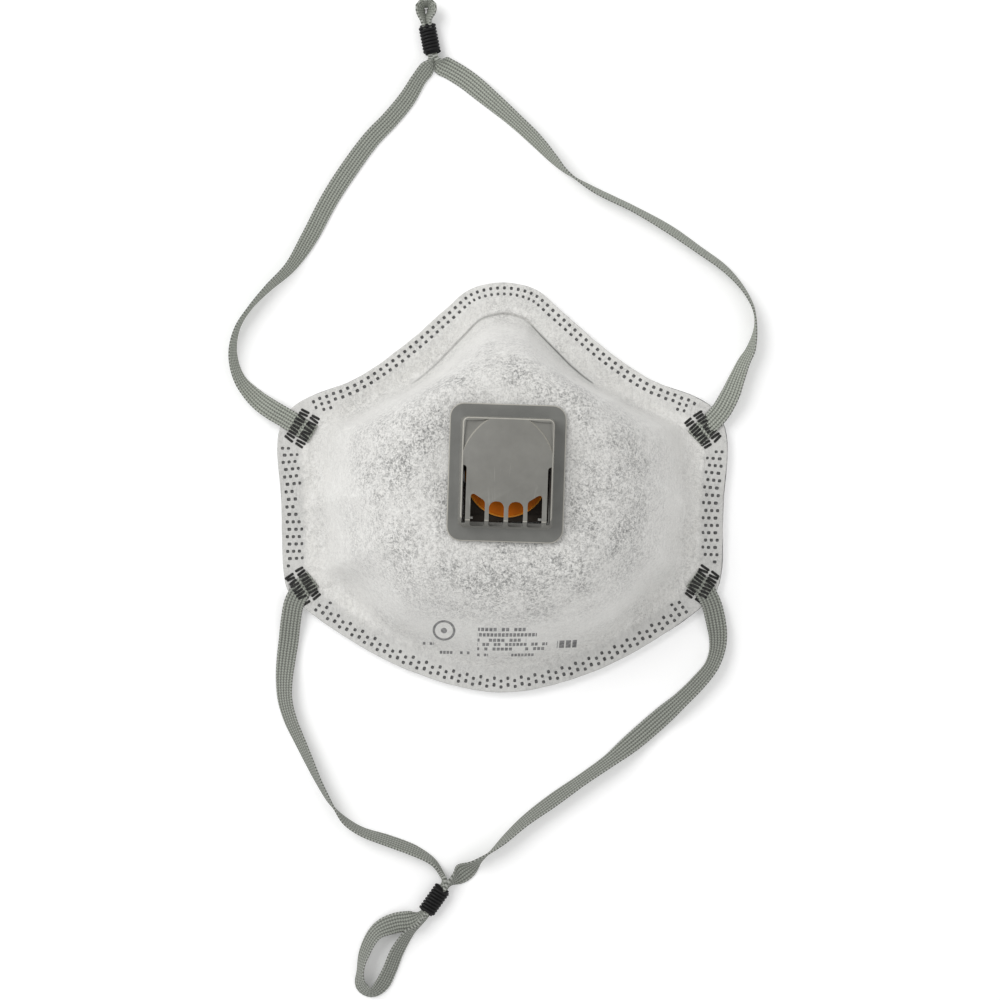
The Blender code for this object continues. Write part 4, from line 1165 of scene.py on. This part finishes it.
def spandrel_cutters(low, high):
    """The two lowered corners at the nose end, with a sloping side round the domed top."""
    half, far = 12.0 * MM, VALVE_Y + 14.5 * MM
    aside, radius = 5 * MM, 18 * MM
    shapes = []
    for side in (-1, 1):
        centre = Vector((-side * aside, VALVE_Y - 0.4 * MM))
        start, end = math.asin((far - centre.y) / radius), math.acos((half + aside) / radius)
        angles = [start + (end - start) * step / 14 for step in range(15)]
        outline = [centre + radius * Vector((side * math.cos(a), math.sin(a))) for a in angles]
        bm = prism([*outline, Vector((side * half, far))], low, high)
        for vert in bm.verts:
            away = vert.co.xy - centre
            if vert.co.z < (low + high) / 2 and away.length < radius + 0.1 * MM:
                vert.co.xy = centre + away * (1 + 0.9 * MM / radius)
        shapes.append(bm)
    return shapes


def make_valve_cover(*finishes):
    base, top = VALVE_LOW.z, VALVE_HIGH.z
    wide, long = (VALVE_HIGH - VALVE_LOW).xy
    brim = block(wide, long, base, base + BRIM_THICKNESS, BRIM_CORNER)
    rim = [e for e in brim.edges if all(v.co.z > base + 0.9 * BRIM_THICKNESS for v in e.verts)]
    bevel(brim, rim, 0.45 * MM, 4)
    house = block(26.8 * MM, 31.8 * MM, base + 0.4 * BRIM_THICKNESS, top, 1.6 * MM, 0.5 * MM, 2.2 * MM)
    lip_and_painted_highlight = [e for e in house.edges if all(v.co.z > top - 0.1 * MM for v in e.verts)]
    bevel(house, lip_and_painted_highlight, 0.5 * MM, 4)
    room = block(24.6 * MM, 29.6 * MM, base - MM, top - 1.1 * MM, 0.6 * MM, 0.5 * MM, 2.2 * MM)
    sill = base + BRIM_THICKNESS + 0.5 * MM
    steps = [("UNION", house), ("DIFFERENCE", room)]
    steps += [("DIFFERENCE", shape) for shape in window_cutters(sill, top + MM)]
    steps += [("DIFFERENCE", shape) for shape in spandrel_cutters(top - 0.65 * MM, top + MM)]
    bm = carved(brim, *steps)
    bmesh.ops.remove_doubles(bm, verts=bm.verts, dist=0.01 * MM)
    bmesh.ops.dissolve_limit(bm, angle_limit=math.radians(1), verts=bm.verts, edges=bm.edges)
    bevel(bm, sharp_edges(bm, 38), 0.16 * MM, 2)
    bm.normal_update()
    # Sloped faces of the rounded lips take the painted highlight, and the brim takes the painted shade.
    for face in bm.faces:
        height = face.calc_center_median().z
        on_brim = height < base + BRIM_THICKNESS + 0.05 * MM
        on_painted_highlight_lip = height > top - 0.5 * MM or base + 0.9 * MM < height and on_brim
        face.material_index = 1 if on_painted_highlight_lip and 0.15 < face.normal.z < 0.95 else 2 if on_brim else 0
    return piece(
        "valve_grille",
        turned_with_valve(bm),
        "mask",
        *finishes,
        replaces=("valve_cover",),
        slot="valve_cover",
        sharp=30,
    )


def make_pegs(finish):
    bm = bmesh.new()
    for side in (-1, 1):
        made = bmesh.ops.create_cone(
            bm, cap_ends=True, segments=16, radius1=0.42 * MM, radius2=0.36 * MM, depth=1.5 * MM
        )["verts"]
        bmesh.ops.rotate(bm, verts=made, matrix=Matrix.Rotation(math.pi / 2, 3, "Y"))
        spot = (side * 10.0 * MM, VALVE_Y - 12.9 * MM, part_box("valve_seat")[1].z + 0.3 * MM)
        bmesh.ops.translate(bm, verts=made, vec=spot)
    bevel(bm, sharp_edges(bm, 60), 0.1 * MM, 2)
    return piece("valve_pegs", turned_with_valve(bm), "mask", finish, sharp=40)


def make_disc(finish, rim_finish):
    """Silicone disc with a fine bead round its edge."""
    low, high = DISC_LOW.z, DISC_HIGH.z
    radius = (DISC_HIGH - DISC_LOW).x / 2
    middle = (low + high) / 2
    profile = [(radius - 0.45 * MM, low), (radius - 0.06 * MM, low), (radius, middle)]
    profile += [(radius - 0.05 * MM, high - 0.02 * MM), (radius - 0.2 * MM, high + 0.05 * MM)]
    profile += [(radius - 0.38 * MM, high - 0.04 * MM), (radius - 0.45 * MM, high - 0.1 * MM)]
    bm = ring_turned(profile, 96, (VALVE_X, PORT_Y))
    axis, reach = Vector((VALVE_X, PORT_Y)), radius - 0.44 * MM
    inner = [f for f in bm.faces if (f.calc_center_median().xy - axis).length < reach]
    bmesh.ops.delete(bm, geom=inner, context="FACES")
    for face in bm.faces:
        face.material_index = 1
    made = bmesh.ops.holes_fill(bm, edges=[edge for edge in bm.edges if edge.is_boundary], sides=0)["faces"]
    bmesh.ops.recalc_face_normals(bm, faces=bm.faces)
    for face in made:
        face.material_index = 0
    return piece(
        "valve_disc",
        bm,
        "valve_flap",
        finish,
        rim_finish,
        replaces=("valve_diaphragm",),
        slot="valve_diaphragm",
        sharp=35,
    )


def make_inner_ring(finish):
    """Ring inside the cup, with rounded edges and small weld lugs."""
    low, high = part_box("valve_inner_ring")
    outer, inner = (high - low).x / 2, 12.1 * MM
    profile = [(inner, low.z), (outer - 0.5 * MM, low.z), (outer - 0.15 * MM, low.z + 0.15 * MM)]
    profile += [(outer, low.z + 0.5 * MM), (outer, high.z), (inner, high.z)]
    bm = ring_turned(profile, 96, (VALVE_X, PORT_Y))
    for index in range(8):
        angle = 2 * math.pi * (index + 0.5) / 8
        made = bmesh.ops.create_cone(
            bm, cap_ends=True, segments=14, radius1=0.7 * MM, radius2=0.55 * MM, depth=0.5 * MM
        )["verts"]
        bmesh.ops.rotate(bm, verts=made, matrix=Matrix.Rotation(math.pi, 3, "X"))
        middle = (outer + inner) / 2
        spot = (VALVE_X + middle * math.cos(angle), PORT_Y + middle * math.sin(angle), low.z - 0.15 * MM)
        bmesh.ops.translate(bm, verts=made, vec=spot)
    node = "valve_inner_ring"
    return piece("neck_ring", bm, "mask", finish, replaces=(node,), slot=node, sharp=40)


# ---------- Nose foam ----------


def make_foam(finish):
    """Foam pad inside the nose: a strip with soft edges that follows the lining."""
    columns, rows = 72, 10
    bm = bmesh.new()
    bmesh.ops.create_grid(bm, x_segments=columns, y_segments=rows, size=0.5)
    for vert in bm.verts:
        distance = vert.co.x * FOAM_LENGTH
        ends = max(1 - abs(2 * vert.co.x) ** 10, 0.0) ** 0.5
        share = 0.40 + vert.co.y * 0.32 * (0.25 + 0.75 * ends)
        place = Station(distance % PERIMETER).wall(share, 0.0)
        vert.co = place
    bm.normal_update()
    if sum(face.normal.z for face in bm.faces) < 0:
        bmesh.ops.reverse_faces(bm, faces=bm.faces)
        bm.normal_update()
    moves = [(vert, vert.normal * -0.5 * MM) for vert in bm.verts]
    for vert, move in moves:
        vert.co += move
    pad = piece("nose_pad", bm, "mask", finish, replaces=("nose_foam",), slot="nose_foam")
    thicken(pad, 3.4 * MM)
    round_edges = pad.modifiers.new("soft edges", "BEVEL")
    round_edges.width = 0.9 * MM
    round_edges.segments = 3
    round_edges.limit_method = "ANGLE"
    round_edges.angle_limit = math.radians(50)
    return pad


# ---------- Camera, light and floor ----------


def make_camera():
    data = bpy.data.cameras.new("camera")
    data.sensor_width = 36
    data.lens = 36 * CAMERA_HEIGHT / FRAME_WIDTH
    data.clip_start, data.clip_end = 0.01, 10
    camera = bpy.data.objects.new("camera", data)
    bpy.context.scene.collection.objects.link(camera)
    camera.location = CAMERA_AIM + Vector((CAMERA_ASIDE, 0, CAMERA_HEIGHT))
    camera.rotation_euler = (0, math.atan2(CAMERA_ASIDE, CAMERA_HEIGHT), 0)
    bpy.context.scene.camera = camera


def make_studio():
    world = bpy.data.worlds.new("studio")
    world.use_nodes = True
    background = world.node_tree.nodes["Background"]
    background.inputs["Color"].default_value = (1, 1, 1, 1)
    background.inputs["Strength"].default_value = WORLD_STRENGTH
    bpy.context.scene.world = world
    for name, place, size, power in LAMPS:
        data = bpy.data.lights.new(name, "AREA")
        data.shape = "SQUARE"
        data.size = size
        data.energy = power
        lamp = bpy.data.objects.new(name, data)
        bpy.context.scene.collection.objects.link(lamp)
        lamp.location = place
        lamp.rotation_euler = (-Vector(place)).to_track_quat("-Z", "Y").to_euler()
    bm = bmesh.new()
    bmesh.ops.create_grid(bm, x_segments=1, y_segments=1, size=3)
    bmesh.ops.translate(bm, verts=bm.verts, vec=(0, 0, -0.1 * MM))
    look = Finish("floor", (0.95, 0.95, 0.95), 0.9, emission_strength=0.12)
    floor = piece("floor", bm, None, look.join(base_color=look.ramp(look.noise(3), (0, 0.94), (1, 0.96))))
    bpy.context.scene.view_settings.view_transform = "Standard"


def build():
    make_camera()
    braids = {
        "upper": elastic("braided elastic", (0.27, 0.285, 0.25)),
        "lower": elastic("darker braided elastic", (0.21, 0.22, 0.195)),
    }
    black = moulded("black sleeve", (0.006, 0.006, 0.0065), 0.55, relief=0.0001, specular_ior_level=0.25)
    sleeves = {
        "upper": make_adjuster("upper_cord_sleeve", "upper_adjuster", *UPPER_ADJUSTER, "upper_sleeve", black),
        "lower": make_adjuster("lower_cord_sleeve", "lower_adjuster", *LOWER_ADJUSTER, "lower_sleeve", black),
    }
    ends = {"upper": UPPER_STRETCH, "lower": LOWER_STRETCH}
    for side, route in (("upper", UPPER_ROUTE), ("lower", LOWER_ROUTE)):
        strap, path, length = make_strap(f"{side}_strap", route, braids[side])
        strap.name = f"{side}_elastic"
        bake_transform(strap, "mask", f"{side}_sleeve", start=ends[side][0], end=ends[side][1])
    make_cover()
    make_layers()
    dark = weld_black()
    for name in WELD_CENTRES:
        make_weld_bars(name, dark)
    grey = moulded("grey plastic", (0.19, 0.187, 0.17), 0.42, scratches=0.6)
    # A lighter copy of the grey plastic: painted highlight on the rounded lips.
    worn = moulded("grey lip painted highlight", (0.40, 0.385, 0.34), 0.4)
    # A darker copy of the grey plastic: painted shade on the brim.
    shaded = moulded("grey brim painted shade", (0.15, 0.151, 0.14), 0.45)
    make_valve_cover(grey, worn, shaded)
    make_inner_ring(grey)
    make_pegs(moulded("pale plastic", (0.5, 0.5, 0.47), 0.4))
    silicone = moulded("silicone", (0.50, 0.12, 0.002), 0.4, relief=0.00002, specular_ior_level=0.1)
    make_disc(silicone, moulded("silicone rim", (0.70, 0.26, 0.02), 0.35, relief=0.00002))
    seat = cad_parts["valve_seat"]
    seat.data.materials.clear()
    # The seat is grey plastic; a near-black brown stands in for painted shade inside the housing.
    seat.data.materials.append(moulded("grey seat plastic painted shade", (0.02, 0.014, 0.009), 0.5, specular_ior_level=0.2))
    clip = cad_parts["nose_clip"]
    clip.data.materials.clear()
    clip.data.materials.append(aluminium())
    make_foam(foam())
    make_studio()


build()
